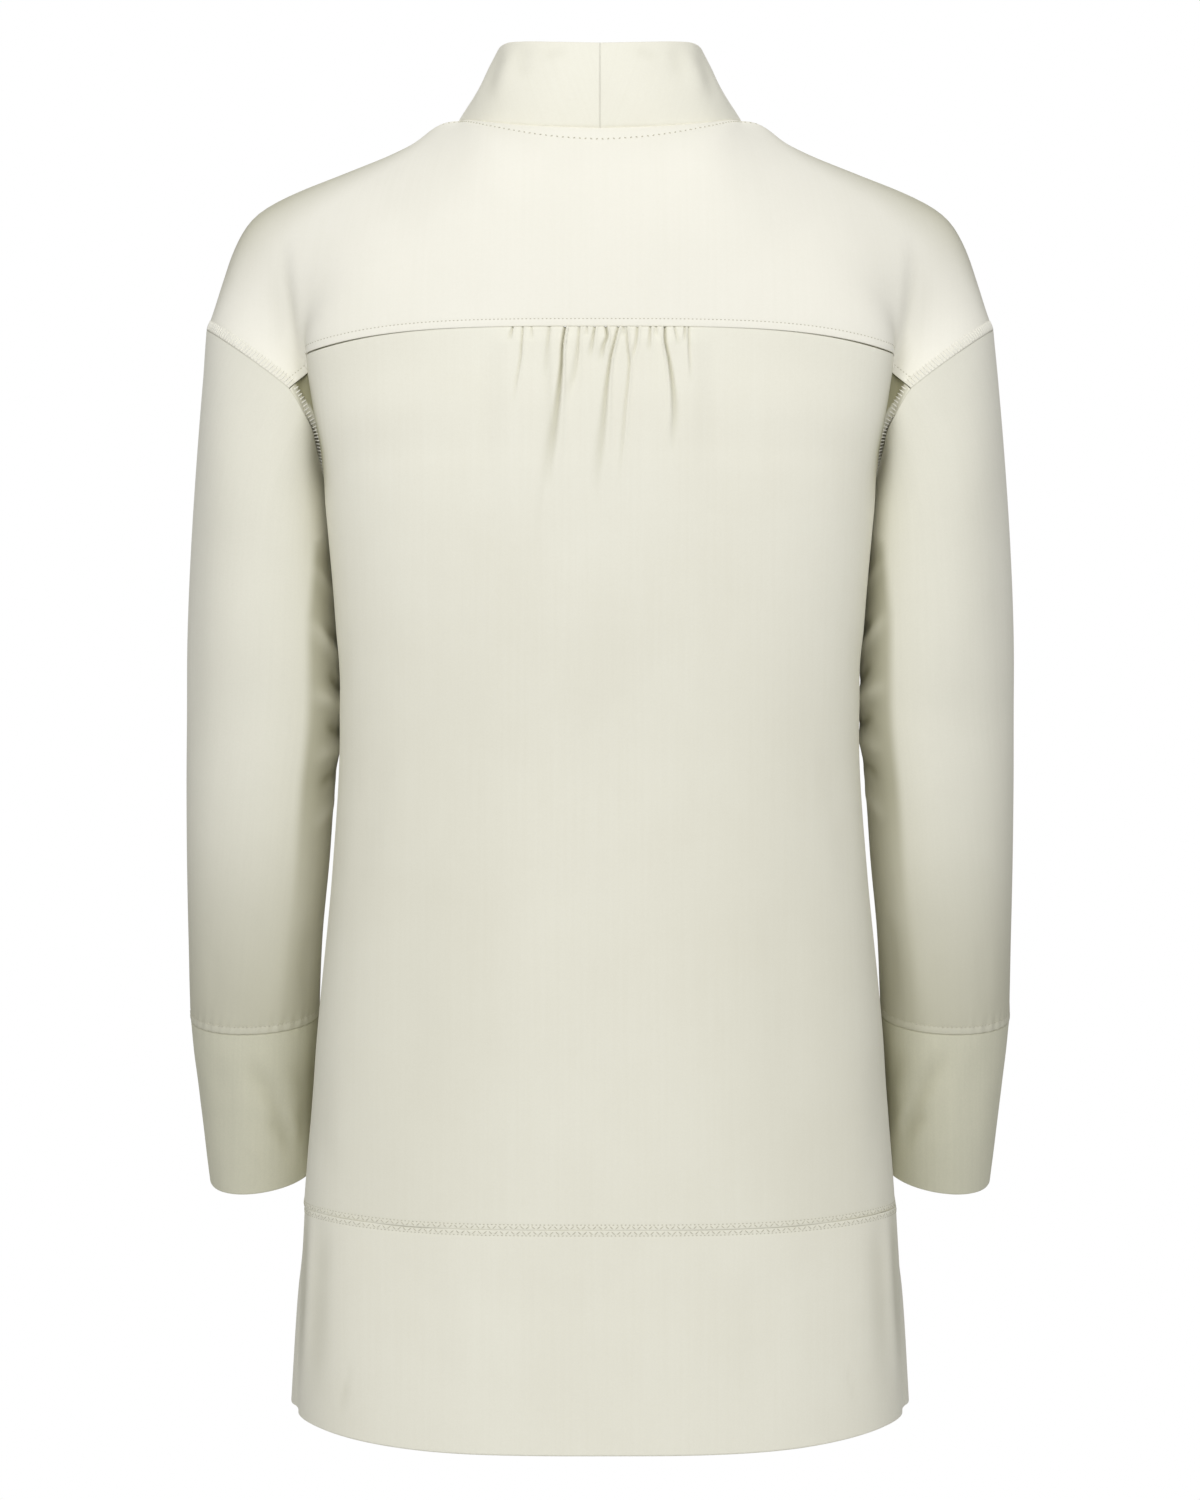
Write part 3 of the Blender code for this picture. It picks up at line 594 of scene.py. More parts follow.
class Cloth:
    """One piece of jersey: a grid of points on its form, row by row.

    Its outer face is raised into folds, seams and turned edges, and painted shade is laid on it, before it
    becomes a thin closed shell.
    """

    def __init__(self, name: str, form: np.ndarray, wall: float = WALL, tube: bool = False,
                 smooth: int = 0) -> None:
        """Keep the form and measure along it.

        Args:
            name: the piece's name.
            form: the grid of points, its first column repeated as its last on a tube.
            wall: how far the outer face stands from the form.
            tube: whether the columns run all the way round.
            smooth: how often the inner points are evened out along the rows.
        """
        self.name, self.tube, self.wall = name, tube, wall
        self.middle: int | None = None          # the column in the garment's middle plane
        self.sewn: np.ndarray | None = None     # which points of a line a short row of sewing keeps
        form = form.copy()
        for _ in range(smooth):
            form[:, 1:-1] += 0.25 * (form[:, :-2] + form[:, 2:] - 2 * form[:, 1:-1])
        self.form = form
        self.normals = self._normals(form)
        self.across = self._lengths(form, 1)
        self.down = self._lengths(form, 0)
        self.to_right = self.across[:, -1:] - self.across
        self.up = self.down[-1:] - self.down
        self.relief = np.zeros(form.shape[:2])
        # painted shade: darkening laid into the jersey's colour at folds, at seams and where the light falls
        # off
        self.shade = np.zeros(form.shape[:2])
        self.thickness = np.full(form.shape[:2], JERSEY)

    @staticmethod
    def _lengths(points: np.ndarray, axis: int) -> np.ndarray:
        """Measure along the rows or the columns from their starts."""
        steps = np.linalg.norm(np.diff(points, axis=axis), axis=-1)
        pad = [(0, 0), (0, 0)]
        pad[axis] = (1, 0)
        return np.cumsum(np.pad(steps, pad), axis=axis)

    def _normals(self, points: np.ndarray) -> np.ndarray:
        """Find the way outwards at each point."""
        if self.tube:
            wrapped = np.concatenate([points[:, -2:-1], points, points[:, 1:2]], axis=1)
            along_row = wrapped[:, 2:] - wrapped[:, :-2]
        else:
            along_row = np.gradient(points, axis=1)
        normals = np.cross(along_row, np.gradient(points, axis=0))
        return normals / np.linalg.norm(normals, axis=-1, keepdims=True)

    def face_straight(self, column: int) -> None:
        """Lay a column and its outwards way into the garment's middle plane, so that two halves meet."""
        self.middle = column
        self.form[:, column, 0] = 0.0
        self.normals[:, column, 0] = 0.0
        self.normals[:, column] /= np.linalg.norm(self.normals[:, column], axis=-1, keepdims=True)

    def face_as(self, normals: np.ndarray, share: np.ndarray) -> None:
        """Turn the first rows' outwards way towards that of the piece that they join.

        Args:
            normals: the other piece's way outwards along the seam.
            share: how far each point turns, from 0 to 1.
        """
        self.normals = mix(self.normals, normals[None], share[..., None])
        self.normals /= np.linalg.norm(self.normals, axis=-1, keepdims=True)

    def crease(self, creases: Sequence[Crease], across: np.ndarray, down: np.ndarray) -> None:
        """Sink creases into the cloth and paint shade into them, placed in the co-ordinates that are given.
        """
        for crease in creases:
            share = crease.depth_at(across, down)
            self.relief -= crease.depth * share
            self.shade += crease.shade * share

    def swell(self, waves: Sequence[Wave], across: np.ndarray, down: np.ndarray,
              share: np.ndarray | float = 1.0) -> None:
        """Lift the cloth in broad waves, by a share that may change over the piece."""
        for wave in waves:
            self.relief += share * wave.height_at(across, down)

    def pinch(self, distance: np.ndarray, depth: float, width: float, shade: float) -> None:
        """Draw the cloth in at a seam and paint shade beside it, by the distance from it."""
        beside = hump(distance, width)
        self.relief -= depth * beside
        self.shade += shade * beside

    def sew_down(self, distance: np.ndarray, place: float, puff: float = 0.05, groove: float = 0.08,
                 share: np.ndarray | float = 1.0) -> None:
        """Hold a strip beside an edge down with a row of sewing.

        Args:
            distance: distance from the edge.
            place: distance of the sewing from it.
            puff: how far the strip swells between them.
            groove: how deep the sewing lies.
            share: a share of both that may change over the piece.
        """
        inside = np.clip(distance / place, 0.0, 1.0)
        self.relief += share * (puff * np.sin(math.pi * inside) - groove * hump(distance - place, 0.8))

    def pucker(self, distance: np.ndarray, along: np.ndarray, reach: float, pitch: float,
               height: float) -> None:
        """Ruffle the cloth finely beside a seam.

        Args:
            distance: distance from the seam.
            along: distance along it.
            reach: how far the ruffle spreads.
            pitch: about how far its ridges stand apart.
            height: how high they are.
        """
        uneven = (along + 0.9 * pitch * np.sin(along / (3.7 * pitch))
                  + 0.5 * pitch * np.sin(along / (1.9 * pitch)))
        strength = 0.6 + 0.4 * np.sin(along / (5.3 * pitch) + 1.0)
        self.relief += height * strength * np.sin(2 * math.pi * uneven / pitch) * hump(distance, reach)

    def turn_edge(self, distance: np.ndarray, deep: float) -> None:
        """Turn an edge in: two layers thick, with a rounded fold.

        Args:
            distance: distance from the edge.
            deep: how far the turning reaches.
        """
        self.thickness += (TURNED - JERSEY) * fade(deep - 2, deep + 2, distance)
        self.round_edge(distance)

    def round_edge(self, distance: np.ndarray) -> None:
        """Round the fold at an edge by the cloth's thickness there."""
        radius = self.thickness / 2
        inside = np.minimum(distance, radius)
        pull = radius - np.sqrt(np.maximum(radius ** 2 - (radius - inside) ** 2, 0.0))
        self.relief -= pull
        self.thickness = np.maximum(self.thickness - 2 * pull, THINNEST)

    @property
    def outer(self) -> np.ndarray:
        """The outer face's points."""
        return self.form + self.normals * (self.wall + self.relief)[..., None]

    @staticmethod
    def _read(grid: np.ndarray, measure: np.ndarray, distance: float) -> np.ndarray:
        """Read a grid of points down each column, at one distance by a measure of its cells."""
        if measure[0, 0] > measure[-1, 0]:
            grid, measure = grid[::-1], measure[::-1]
        return np.array([[np.interp(distance, measure[:, c], grid[:, c, k]) for k in range(3)]
                         for c in range(grid.shape[1])])

    def row_line(self, distance: float, from_bottom: bool = False) -> Line:
        """Follow the outer face across the piece, at one distance from its top or bottom edge.

        Args:
            distance: the distance.
            from_bottom: measure it from the bottom edge.

        Returns:
            The line.
        """
        measure = self.up if from_bottom else self.down
        return self._read(self.outer, measure, distance), self._read(self.normals, measure, distance)

    def column_line(self, distance: float, from_right: bool = False) -> Line:
        """Follow the outer face down the piece, at one distance from its left or right edge.

        Args:
            distance: the distance.
            from_right: measure it from the last column.

        Returns:
            The line.
        """
        measure = (self.to_right if from_right else self.across).T
        outer, normals = self.outer.swapaxes(0, 1), self.normals.swapaxes(0, 1)
        return self._read(outer, measure, distance), self._read(normals, measure, distance)

    def short(self, line: Line) -> Line:
        """Keep the part of a line where a short row of sewing runs."""
        return line[0][self.sewn], line[1][self.sewn]

    def _shell(self) -> tuple[np.ndarray, np.ndarray]:
        """Join the outer and the inner face's points into a closed shell.

        Returns:
            Each face's points, and the places of its corners in the grid.
        """
        rows, columns = self.form.shape[:2]
        places = np.arange(rows * columns).reshape(rows, columns)
        outside = places
        if self.tube:
            outside = np.arange(rows * (columns - 1)).reshape(rows, columns - 1)
            outside = np.hstack([outside, outside[:, :1]])
        inside = outside + outside.max() + 1
        faces, corners = [], []

        def add(points: Sequence[np.ndarray], at: Sequence[np.ndarray]) -> None:
            """Add quads from four grids of corners and their places."""
            faces.append(np.stack([grid.ravel() for grid in points], -1))
            corners.append(np.stack([grid.ravel() for grid in at], -1))

        def cells(grid: np.ndarray) -> list[np.ndarray]:
            """Give each cell's corners: upper left, upper right, lower right, lower left."""
            return [grid[:-1, :-1], grid[:-1, 1:], grid[1:, 1:], grid[1:, :-1]]

        add(cells(outside), cells(places))
        add(cells(inside)[::-1], cells(places)[::-1])
        edges = [np.s_[0, ::-1], np.s_[-1]]
        if not self.tube:
            edges += [np.s_[:, 0], np.s_[::-1, -1]]
        for edge in edges:
            outer, inner, at = outside[edge], inside[edge], places[edge]
            add([outer[:-1], outer[1:], inner[1:], inner[:-1]], [at[:-1], at[1:], at[1:], at[:-1]])
        return np.concatenate(faces), np.concatenate(corners)

    def make(self, material: bpy.types.Material, node: str) -> bpy.types.Object:
        """Make the shell and put it in its solid's place.

        Args:
            material: the piece's finish.
            node: the solid that it stands for, which it hides.

        Returns:
            The finished piece.
        """
        outer, shade = self.outer, self.shade
        normals = self._normals(outer)
        if self.middle is not None:
            normals[:, self.middle] = self.normals[:, self.middle]
        inner = outer - normals * self.thickness[..., None]
        if self.tube:
            outer, inner, shade = outer[:, :-1], inner[:, :-1], shade[:, :-1]
        faces, corners = self._shell()
        mesh = bpy.data.meshes.new(self.name)
        points = np.concatenate([outer.reshape(-1, 3), inner.reshape(-1, 3)]) * MM
        mesh.from_pydata(points.tolist(), [], faces.tolist())
        from_middle = self.across - self.across[:, self.across.shape[1] // 2][:, None]
        flat = np.stack([from_middle, -self.down], -1).reshape(-1, 2) * MM
        mesh.uv_layers.new(name="cloth").data.foreach_set("uv", flat[corners.ravel()].ravel())
        # the fold attribute carries the painted shade into the jersey's colour
        painted_shade_layer = mesh.attributes.new("fold", "FLOAT", "POINT")
        painted_shade_layer.data.foreach_set("value", np.clip(np.tile(shade.ravel(), 2), 0.0, 1.0))
        mesh.materials.append(material)
        piece = place_mesh(mesh)
        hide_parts(node)
        LOG.info("%s: %d faces", self.name, len(mesh.polygons))
        return piece


# --- sewing -------------------------------------------------------------------------------------------

@dataclass(frozen=True)
class Sewing:
    """A row of stitches along a line on the cloth."""

    kind: StitchKind
    pitch: float
    length: float
    thread: float = 0.5
    swing: float = 0.0          # half the width of a zigzag
    raised: bool = False        # whether it stands on the cloth

    def frames(self, line: Line) -> tuple[np.ndarray, np.ndarray, np.ndarray]:
        """Place the stitches.

        Args:
            line: the line on the cloth.

        Returns:
            Each stitch's middle, its way along, and the way outwards.
        """
        points, normals = line
        lengths = lengths_along(points)
        marks = np.arange(self.pitch, lengths[-1] - self.pitch / 2, self.pitch)

        def read(table: np.ndarray, at: np.ndarray) -> np.ndarray:
            """Read a table of points at lengths along the line."""
            return np.stack([np.interp(at, lengths, table[:, k]) for k in range(3)], -1)

        middle, out = read(points, marks), read(normals, marks)
        way = read(points, marks + 0.5) - read(points, marks - 0.5)
        way /= np.linalg.norm(way, axis=1, keepdims=True)
        out -= way * np.sum(way * out, axis=1, keepdims=True)
        out /= np.linalg.norm(out, axis=1, keepdims=True)
        beside = np.cross(out, way)
        if self.kind is StitchKind.RUNGS:
            way = beside
        elif self.kind is StitchKind.ZIGZAG:
            lean = np.where(np.arange(len(marks)) % 2, 1, -1)[:, None]
            way = way * self.pitch + beside * lean * 2 * self.swing
            way /= np.linalg.norm(way, axis=1, keepdims=True)
        return middle, way, out


class Stitcher:
    """Makes rows of sewing from one small thread stitch."""

    def __init__(self, sunk: bpy.types.Material, raised: bpy.types.Material) -> None:
        """Model the stitch that every row repeats.

        Args:
            sunk: the finish of thread that lies sunk in the cloth, darkened as painted shade in its needle
                holes.
            raised: the finish of thread that stands on it, a little lighter as a painted highlight.
        """
        self.finishes = {False: sunk, True: raised}
        bpy.ops.object.select_all(action="DESELECT")
        bpy.ops.mesh.primitive_uv_sphere_add(segments=6, ring_count=4, radius=0.5,
                                             rotation=(0, math.pi / 2, 0))
        bpy.ops.object.transform_apply(rotation=True)
        stitch = bpy.context.object
        self.points = np.array([v.co[:] for v in stitch.data.vertices])
        self.faces = [list(face.vertices) for face in stitch.data.polygons]
        bpy.data.objects.remove(stitch, do_unlink=True)

    def sew(self, name: str, rows: Sequence[tuple[Sewing, Line]]) -> bpy.types.Object:
        """Sew rows into one piece.

        Args:
            name: the piece's name.
            rows: each row's sewing and its line on the cloth.

        Returns:
            The finished piece.
        """
        points, faces, slots = [], [], []
        materials = list(dict.fromkeys(self.finishes[sewing.raised] for sewing, _ in rows))
        for sewing, line in rows:
            for middle, way, out in zip(*sewing.frames(line)):
                start = len(points) * len(self.points)
                beside = np.cross(out, way)
                frame = np.array([way * sewing.length, beside * sewing.thread, out * sewing.thread])
                points.append(middle + self.points @ frame)
                faces += [[start + corner for corner in face] for face in self.faces]
                slots += [materials.index(self.finishes[sewing.raised])] * len(self.faces)
        mesh = bpy.data.meshes.new(name)
        mesh.from_pydata((np.concatenate(points) * MM).tolist(), [], faces)
        for material in materials:
            mesh.materials.append(material)
        mesh.polygons.foreach_set("material_index", slots)
        piece = place_mesh(mesh)
        LOG.info("%s: %d stitches", name, len(points))
        return piece


NEEDLE = Sewing(StitchKind.STRAIGHT, pitch=2.4, length=1.2, thread=0.6)
NECK_ZIGZAG = Sewing(StitchKind.ZIGZAG, pitch=3.4, length=1.6, thread=1.05, swing=1.6)
CUFF_NEEDLE = Sewing(StitchKind.STRAIGHT, pitch=2.8, length=1.3, thread=0.9)
COVER_RUNGS = Sewing(StitchKind.RUNGS, pitch=2.4, length=6.6, thread=1.0, raised=True)
HEM_ZIGZAG = Sewing(StitchKind.ZIGZAG, pitch=3.3, length=2.7, thread=0.6, swing=1.4)


# --- finishes -----------------------------------------------------------------------------------------

class Nodes:
    """A node tree that is being wired."""

    def __init__(self, tree: bpy.types.NodeTree) -> None:
        """Keep the tree."""
        self.tree = tree

    def add(self, kind: str, values: dict | None = None, **settings: object) -> bpy.types.Node:
        """Add a node.

        Args:
            kind: the node's type.
            values: socket values, or sockets to join to them, by socket name or number.
            settings: the node's own settings.

        Returns:
            The node.
        """
        node = self.tree.nodes.new(kind)
        for name, value in settings.items():
            setattr(node, name, value)
        for name, value in (values or {}).items():
            if isinstance(value, bpy.types.NodeSocket):
                self.tree.links.new(value, node.inputs[name])
            else:
                node.inputs[name].default_value = value
        return node

    def math(self, operation: str, first: object, second: object = 0.0,
             third: object = 0.0) -> bpy.types.NodeSocket:
        """Add a sum and give its result."""
        return self.add("ShaderNodeMath", {0: first, 1: second, 2: third}, operation=operation).outputs[0]


def new_finish(name: str) -> tuple[bpy.types.Material, bpy.types.Node, Nodes]:
    """Start a material, and give it with its shader and its tree of nodes."""
    material = bpy.data.materials.new(name)
    material.use_nodes = True
    return material, material.node_tree.nodes["Principled BSDF"], Nodes(material.node_tree)


def set_ramp(ramp: bpy.types.Node, stops: Sequence[tuple[float, Sequence[float]]]) -> None:
    """Set a colour ramp's two stops, each a place and a colour."""
    for element, (place, colour) in zip(ramp.color_ramp.elements, stops):
        element.position = place
        element.color = (*colour, 1.0)


class KnitGroup:
    """A shader group for knitted jersey: fine ribs of small loops, and the cloth's uneven tone."""

    NAME = "jersey_knit"

    @classmethod
    def get(cls) -> bpy.types.NodeTree:
        """Build the group once and give it.

        Returns:
            The group: its height follows the loops, and its tone and soft values vary over the cloth.
        """
        if cls.NAME in bpy.data.node_groups:
            return bpy.data.node_groups[cls.NAME]
        group = bpy.data.node_groups.new(cls.NAME, "ShaderNodeTree")
        for name, kind in (("Cloth", "NodeSocketVector"), ("Place", "NodeSocketVector"),
                           ("Rib", "NodeSocketFloat"), ("Loop", "NodeSocketFloat")):
            group.interface.new_socket(name=name, in_out="INPUT", socket_type=kind)
        for name in ("Height", "Tone", "Soft"):
            group.interface.new_socket(name=name, in_out="OUTPUT", socket_type="NodeSocketFloat")
        nodes = Nodes(group)
        given = nodes.add("NodeGroupInput").outputs
        parts = nodes.add("ShaderNodeSeparateXYZ", {0: given["Cloth"]}).outputs
        rib = nodes.math("DIVIDE", parts["X"], given["Rib"])
        loop = nodes.math("DIVIDE", parts["Y"], given["Loop"])
        from_middle = nodes.math("ABSOLUTE", nodes.math("SUBTRACT", nodes.math("FRACT", rib), 0.5))
        leg = nodes.math("SUBTRACT", 1.0, nodes.math("MULTIPLY", nodes.math("ABSOLUTE", nodes.math(
            "SUBTRACT", from_middle, 0.25)), 4.0))
        leaning = nodes.math("MULTIPLY_ADD", from_middle, 1.6, loop)
        round_loop = nodes.math("SINE", nodes.math("MULTIPLY", leaning, 2 * math.pi))
        height = nodes.math("MULTIPLY", leg, nodes.math("MULTIPLY_ADD", round_loop, 0.35, 0.65))
        yarn = nodes.add("ShaderNodeTexNoise", {"Vector": given["Place"], "Scale": 900.0,
                                                "Detail": 3.0}).outputs[0]
        cloudy = nodes.add("ShaderNodeTexNoise", {"Vector": given["Place"], "Scale": 11.0, "Detail": 4.0,
                                                  "Roughness": 0.55}).outputs[0]
        streaks = nodes.add("ShaderNodeVectorMath", {0: given["Cloth"], 1: (420.0, 9.0, 1.0)},
                            operation="MULTIPLY").outputs[0]
        streak = nodes.add("ShaderNodeTexNoise", {"Vector": streaks, "Scale": 1.0, "Detail": 2.0}).outputs[0]
        # the tone: uneven yarn, streaks and clouds, and a little painted shade in the hollows between the
        # loops
        tone = nodes.math("MULTIPLY_ADD", nodes.math("SUBTRACT", height, 0.5), 0.10,
                          nodes.math("MULTIPLY_ADD", nodes.math("SUBTRACT", yarn, 0.5), 0.5,
                                     nodes.math("MULTIPLY_ADD", nodes.math("SUBTRACT", streak, 0.5), 0.35,
                                                cloudy)))
        nodes.add("NodeGroupOutput", {"Height": nodes.math("MULTIPLY_ADD", yarn, 0.5, height), "Tone": tone,
                                      "Soft": cloudy})
        return group


@dataclass(frozen=True)
class JerseyFinish:
    """Smooth fine cotton jersey, matt with a soft bloom, its colour darkened by the painted shade of the fold
    attribute.
    """

    name: str
    light: tuple[float, float, float]
    dark: tuple[float, float, float]
    folded: tuple[float, float, float] = (0.36, 0.345, 0.22)     # the painted shade's colour, deep in a fold
    rib: float = 0.9            # the knit's ribs and loops
    loop: float = 0.75
    relief: float = 0.10        # how far the loops stand out

    def build(self) -> bpy.types.Material:
        """Make the material.

        Returns:
            The material.
        """
        material, shader, nodes = new_finish(self.name)
        place = nodes.add("ShaderNodeTexCoord").outputs["Object"]
        cloth = nodes.add("ShaderNodeUVMap", uv_map="cloth").outputs[0]
        knit = nodes.add("ShaderNodeGroup", node_tree=KnitGroup.get())
        for name, value in (("Rib", self.rib * MM), ("Loop", self.loop * MM)):
            knit.inputs[name].default_value = value
        nodes.tree.links.new(cloth, knit.inputs["Cloth"])
        nodes.tree.links.new(place, knit.inputs["Place"])
        ramp = nodes.add("ShaderNodeValToRGB", {0: knit.outputs["Tone"]})
        set_ramp(ramp, ((0.25, self.dark), (0.75, self.light)))
        # painted shade: the fold attribute mixes the jersey's colour towards the folded colour
        fold = nodes.add("ShaderNodeAttribute", attribute_name="fold").outputs["Fac"]
        shaded_colour = nodes.add("ShaderNodeMix", {0: fold, 6: ramp.outputs[0], 7: (*self.folded, 1.0)},
                           data_type="RGBA")
        rough = nodes.add("ShaderNodeMapRange", {0: knit.outputs["Soft"], 1: 0.3, 2: 0.7, 3: 0.78, 4: 0.9})
        bump = nodes.add("ShaderNodeBump", {"Height": knit.outputs["Height"], "Strength": 0.35,
                                            "Distance": self.relief * MM})
        for name, socket in (("Base Color", shaded_colour.outputs[2]), ("Roughness", rough.outputs[0]),
                             ("Normal", bump.outputs[0])):
            nodes.tree.links.new(socket, shader.inputs[name])
        shader.inputs["Sheen Weight"].default_value = 0.03
        shader.inputs["Sheen Roughness"].default_value = 0.4
        shader.inputs["Specular IOR Level"].default_value = 0.25
        return material


@dataclass(frozen=True)
class ThreadFinish:
    """Sewing thread, twisted from two plies."""

    SHADED = 0.86               # how much of its lightness the thread keeps between its plies

    name: str
    colour: tuple[float, float, float]

    def build(self) -> bpy.types.Material:
        """Make the material.

        Returns:
            The material.
        """
        material, shader, nodes = new_finish(self.name)
        place = nodes.add("ShaderNodeTexCoord").outputs["Object"]
        plies = nodes.add("ShaderNodeTexWave", {"Vector": place, "Scale": 1400.0, "Distortion": 1.5},
                          bands_direction="DIAGONAL").outputs["Fac"]
        uneven = nodes.add("ShaderNodeTexNoise", {"Vector": place, "Scale": 260.0}).outputs[0]
        ramp = nodes.add("ShaderNodeValToRGB", {0: nodes.math("MULTIPLY_ADD", plies, 0.4, uneven)})
        set_ramp(ramp, ((0.3, [self.SHADED * part for part in self.colour]), (1.0, self.colour)))
        bump = nodes.add("ShaderNodeBump", {"Height": plies, "Strength": 0.4, "Distance": 0.06 * MM})
        nodes.tree.links.new(ramp.outputs[0], shader.inputs["Base Color"])
        nodes.tree.links.new(bump.outputs[0], shader.inputs["Normal"])
        shader.inputs["Roughness"].default_value = 0.6
        return material


# one cream jersey: the body's colour here, and lit and shaded copies of it below
BODY_JERSEY = JerseyFinish("body_jersey", light=(0.90, 0.885, 0.775), dark=(0.86, 0.84, 0.725))
# the same jersey made lighter for the yoke: painted light
LIT_YOKE_JERSEY = JerseyFinish("yoke_jersey_painted_light", light=(0.93, 0.91, 0.815), dark=(0.895, 0.875, 0.775))
# the same jersey made lighter for the sleeves: painted light, with painted shade laid back over all but the
# outer upper arm
LIT_SLEEVE_JERSEY = JerseyFinish("sleeve_jersey", light=(0.925, 0.91, 0.805), dark=(0.875, 0.86, 0.755))
# the same jersey made darker for the cuffs: painted shade, as the cuffs face down
SHADED_CUFF_JERSEY = JerseyFinish("cuff_jersey", light=(0.70, 0.685, 0.545), dark=(0.63, 0.62, 0.49))
# thread in the cloth's cream, darkened as painted shade in its needle holes
SHADED_SUNK_THREAD = ThreadFinish("sunk_thread_painted_shade", (0.62, 0.6, 0.48))
# cream thread, a little lighter than the body's jersey as a painted highlight on the raised rungs
LIT_RAISED_THREAD = ThreadFinish("raised_thread_painted_highlight", (0.93, 0.915, 0.83))


# --- the pieces -----------------------------------------------------------------------------------------

# where the back folds over before each armhole: the height, and how far from the middle
FOLD_EDGE: tuple[tuple[float, float], ...] = (
    (-330, 160), (-215, 169), (-170, 174), (-142, 178), (-116, 181), (-92, 184), (-60, 187))
FOLD_RISE = 1.7         # how far it stands out at its edge
FOLD_UNEVEN = 1.5       # how much nearer to the middle it turns on the right


def edge_fold(x: np.ndarray, z: np.ndarray) -> np.ndarray:
    """Say how far the back stands out where it folds over before each armhole.

    Args:
        x: distance from the middle, to the left.
        z: height.

    Returns:
        The rise, in millimetres.
    """
    edge = read_table(FOLD_EDGE, z)
    out = np.where(x < 0, FOLD_UNEVEN - x, x)
    return FOLD_RISE * between(70, edge - 6, edge - 3, edge + 5, out) * between(-330, -215, -104, -62, z)


@dataclass(frozen=True)
class Cut:
    """A piece's flat size: width and length, and its area where it isn't a rectangle."""

    width: float
    length: float
    area: float | None = None       # square millimetres

    def declare(self, piece: bpy.types.Object, held: str, sewing: Sequence[bpy.types.Object] = ()) -> None:
        """Take the cut of a sheet of cloth and how it is held; nothing is done with them."""


class Piece:
    """A cut and sewn piece: each kind shapes its cloth and says where its rows of sewing run."""

    cut: Cut
    node: str                               # the solid that it stands for
    held: ClassVar[str] = "hung"            # how its cloth is held

    @property
    def sewing_name(self) -> str:
        """The name of its rows of sewing."""
        return f"{self.node}_sewing"

    def build(self) -> Cloth:
        """Shape the cloth.

        Returns:
            The shaped piece.
        """
        raise NotImplementedError

    def rows(self, cloth: Cloth) -> list[tuple[Sewing, Line]]:
        """Say where its rows of sewing run.

        Args:
            cloth: the shaped piece.

        Returns:
            Each row's sewing and its line on the cloth, or none on a piece without sewing.
        """
        return []

    def dress(self, material: bpy.types.Material, stitcher: Stitcher) -> None:
        """Make the piece and sew it.

        Args:
            material: the jersey.
            stitcher: the maker of its rows of sewing.
        """
        cloth = self.build()
        piece = cloth.make(material, self.node)
        rows = self.rows(cloth)
        sewing = [stitcher.sew(self.sewing_name, rows)] if rows else []
        self.cut.declare(piece, self.held, sewing)


@dataclass
class SidedPiece(Piece):
    """A piece that the garment has on both sides, shaped on the left and mirrored on the right."""

    kind: ClassVar[str]                     # what its names begin with
    side: Side

    @property
    def node(self) -> str:
        """The solid that it stands for."""
        return f"{self.kind}_{self.side.name.lower()}"

    @property
    def cloth_name(self) -> str:
        """The name of its cloth."""
        return f"{self.kind}_cloth_{self.side.name.lower()}"

    @property
    def is_left(self) -> bool:
        """Whether it is the wearer's left one."""
        return self.side is Side.LEFT

    def sided(self, form: np.ndarray) -> np.ndarray:
        """Give the left one's points as they lie on its own side."""
        return form if self.is_left else mirrored(form)

    def from_edges(self, cloth: Cloth) -> tuple[np.ndarray, np.ndarray]:
        """Give the distances from its two side edges, in the left one's order."""
        return (cloth.across, cloth.to_right) if self.is_left else (cloth.to_right, cloth.across)


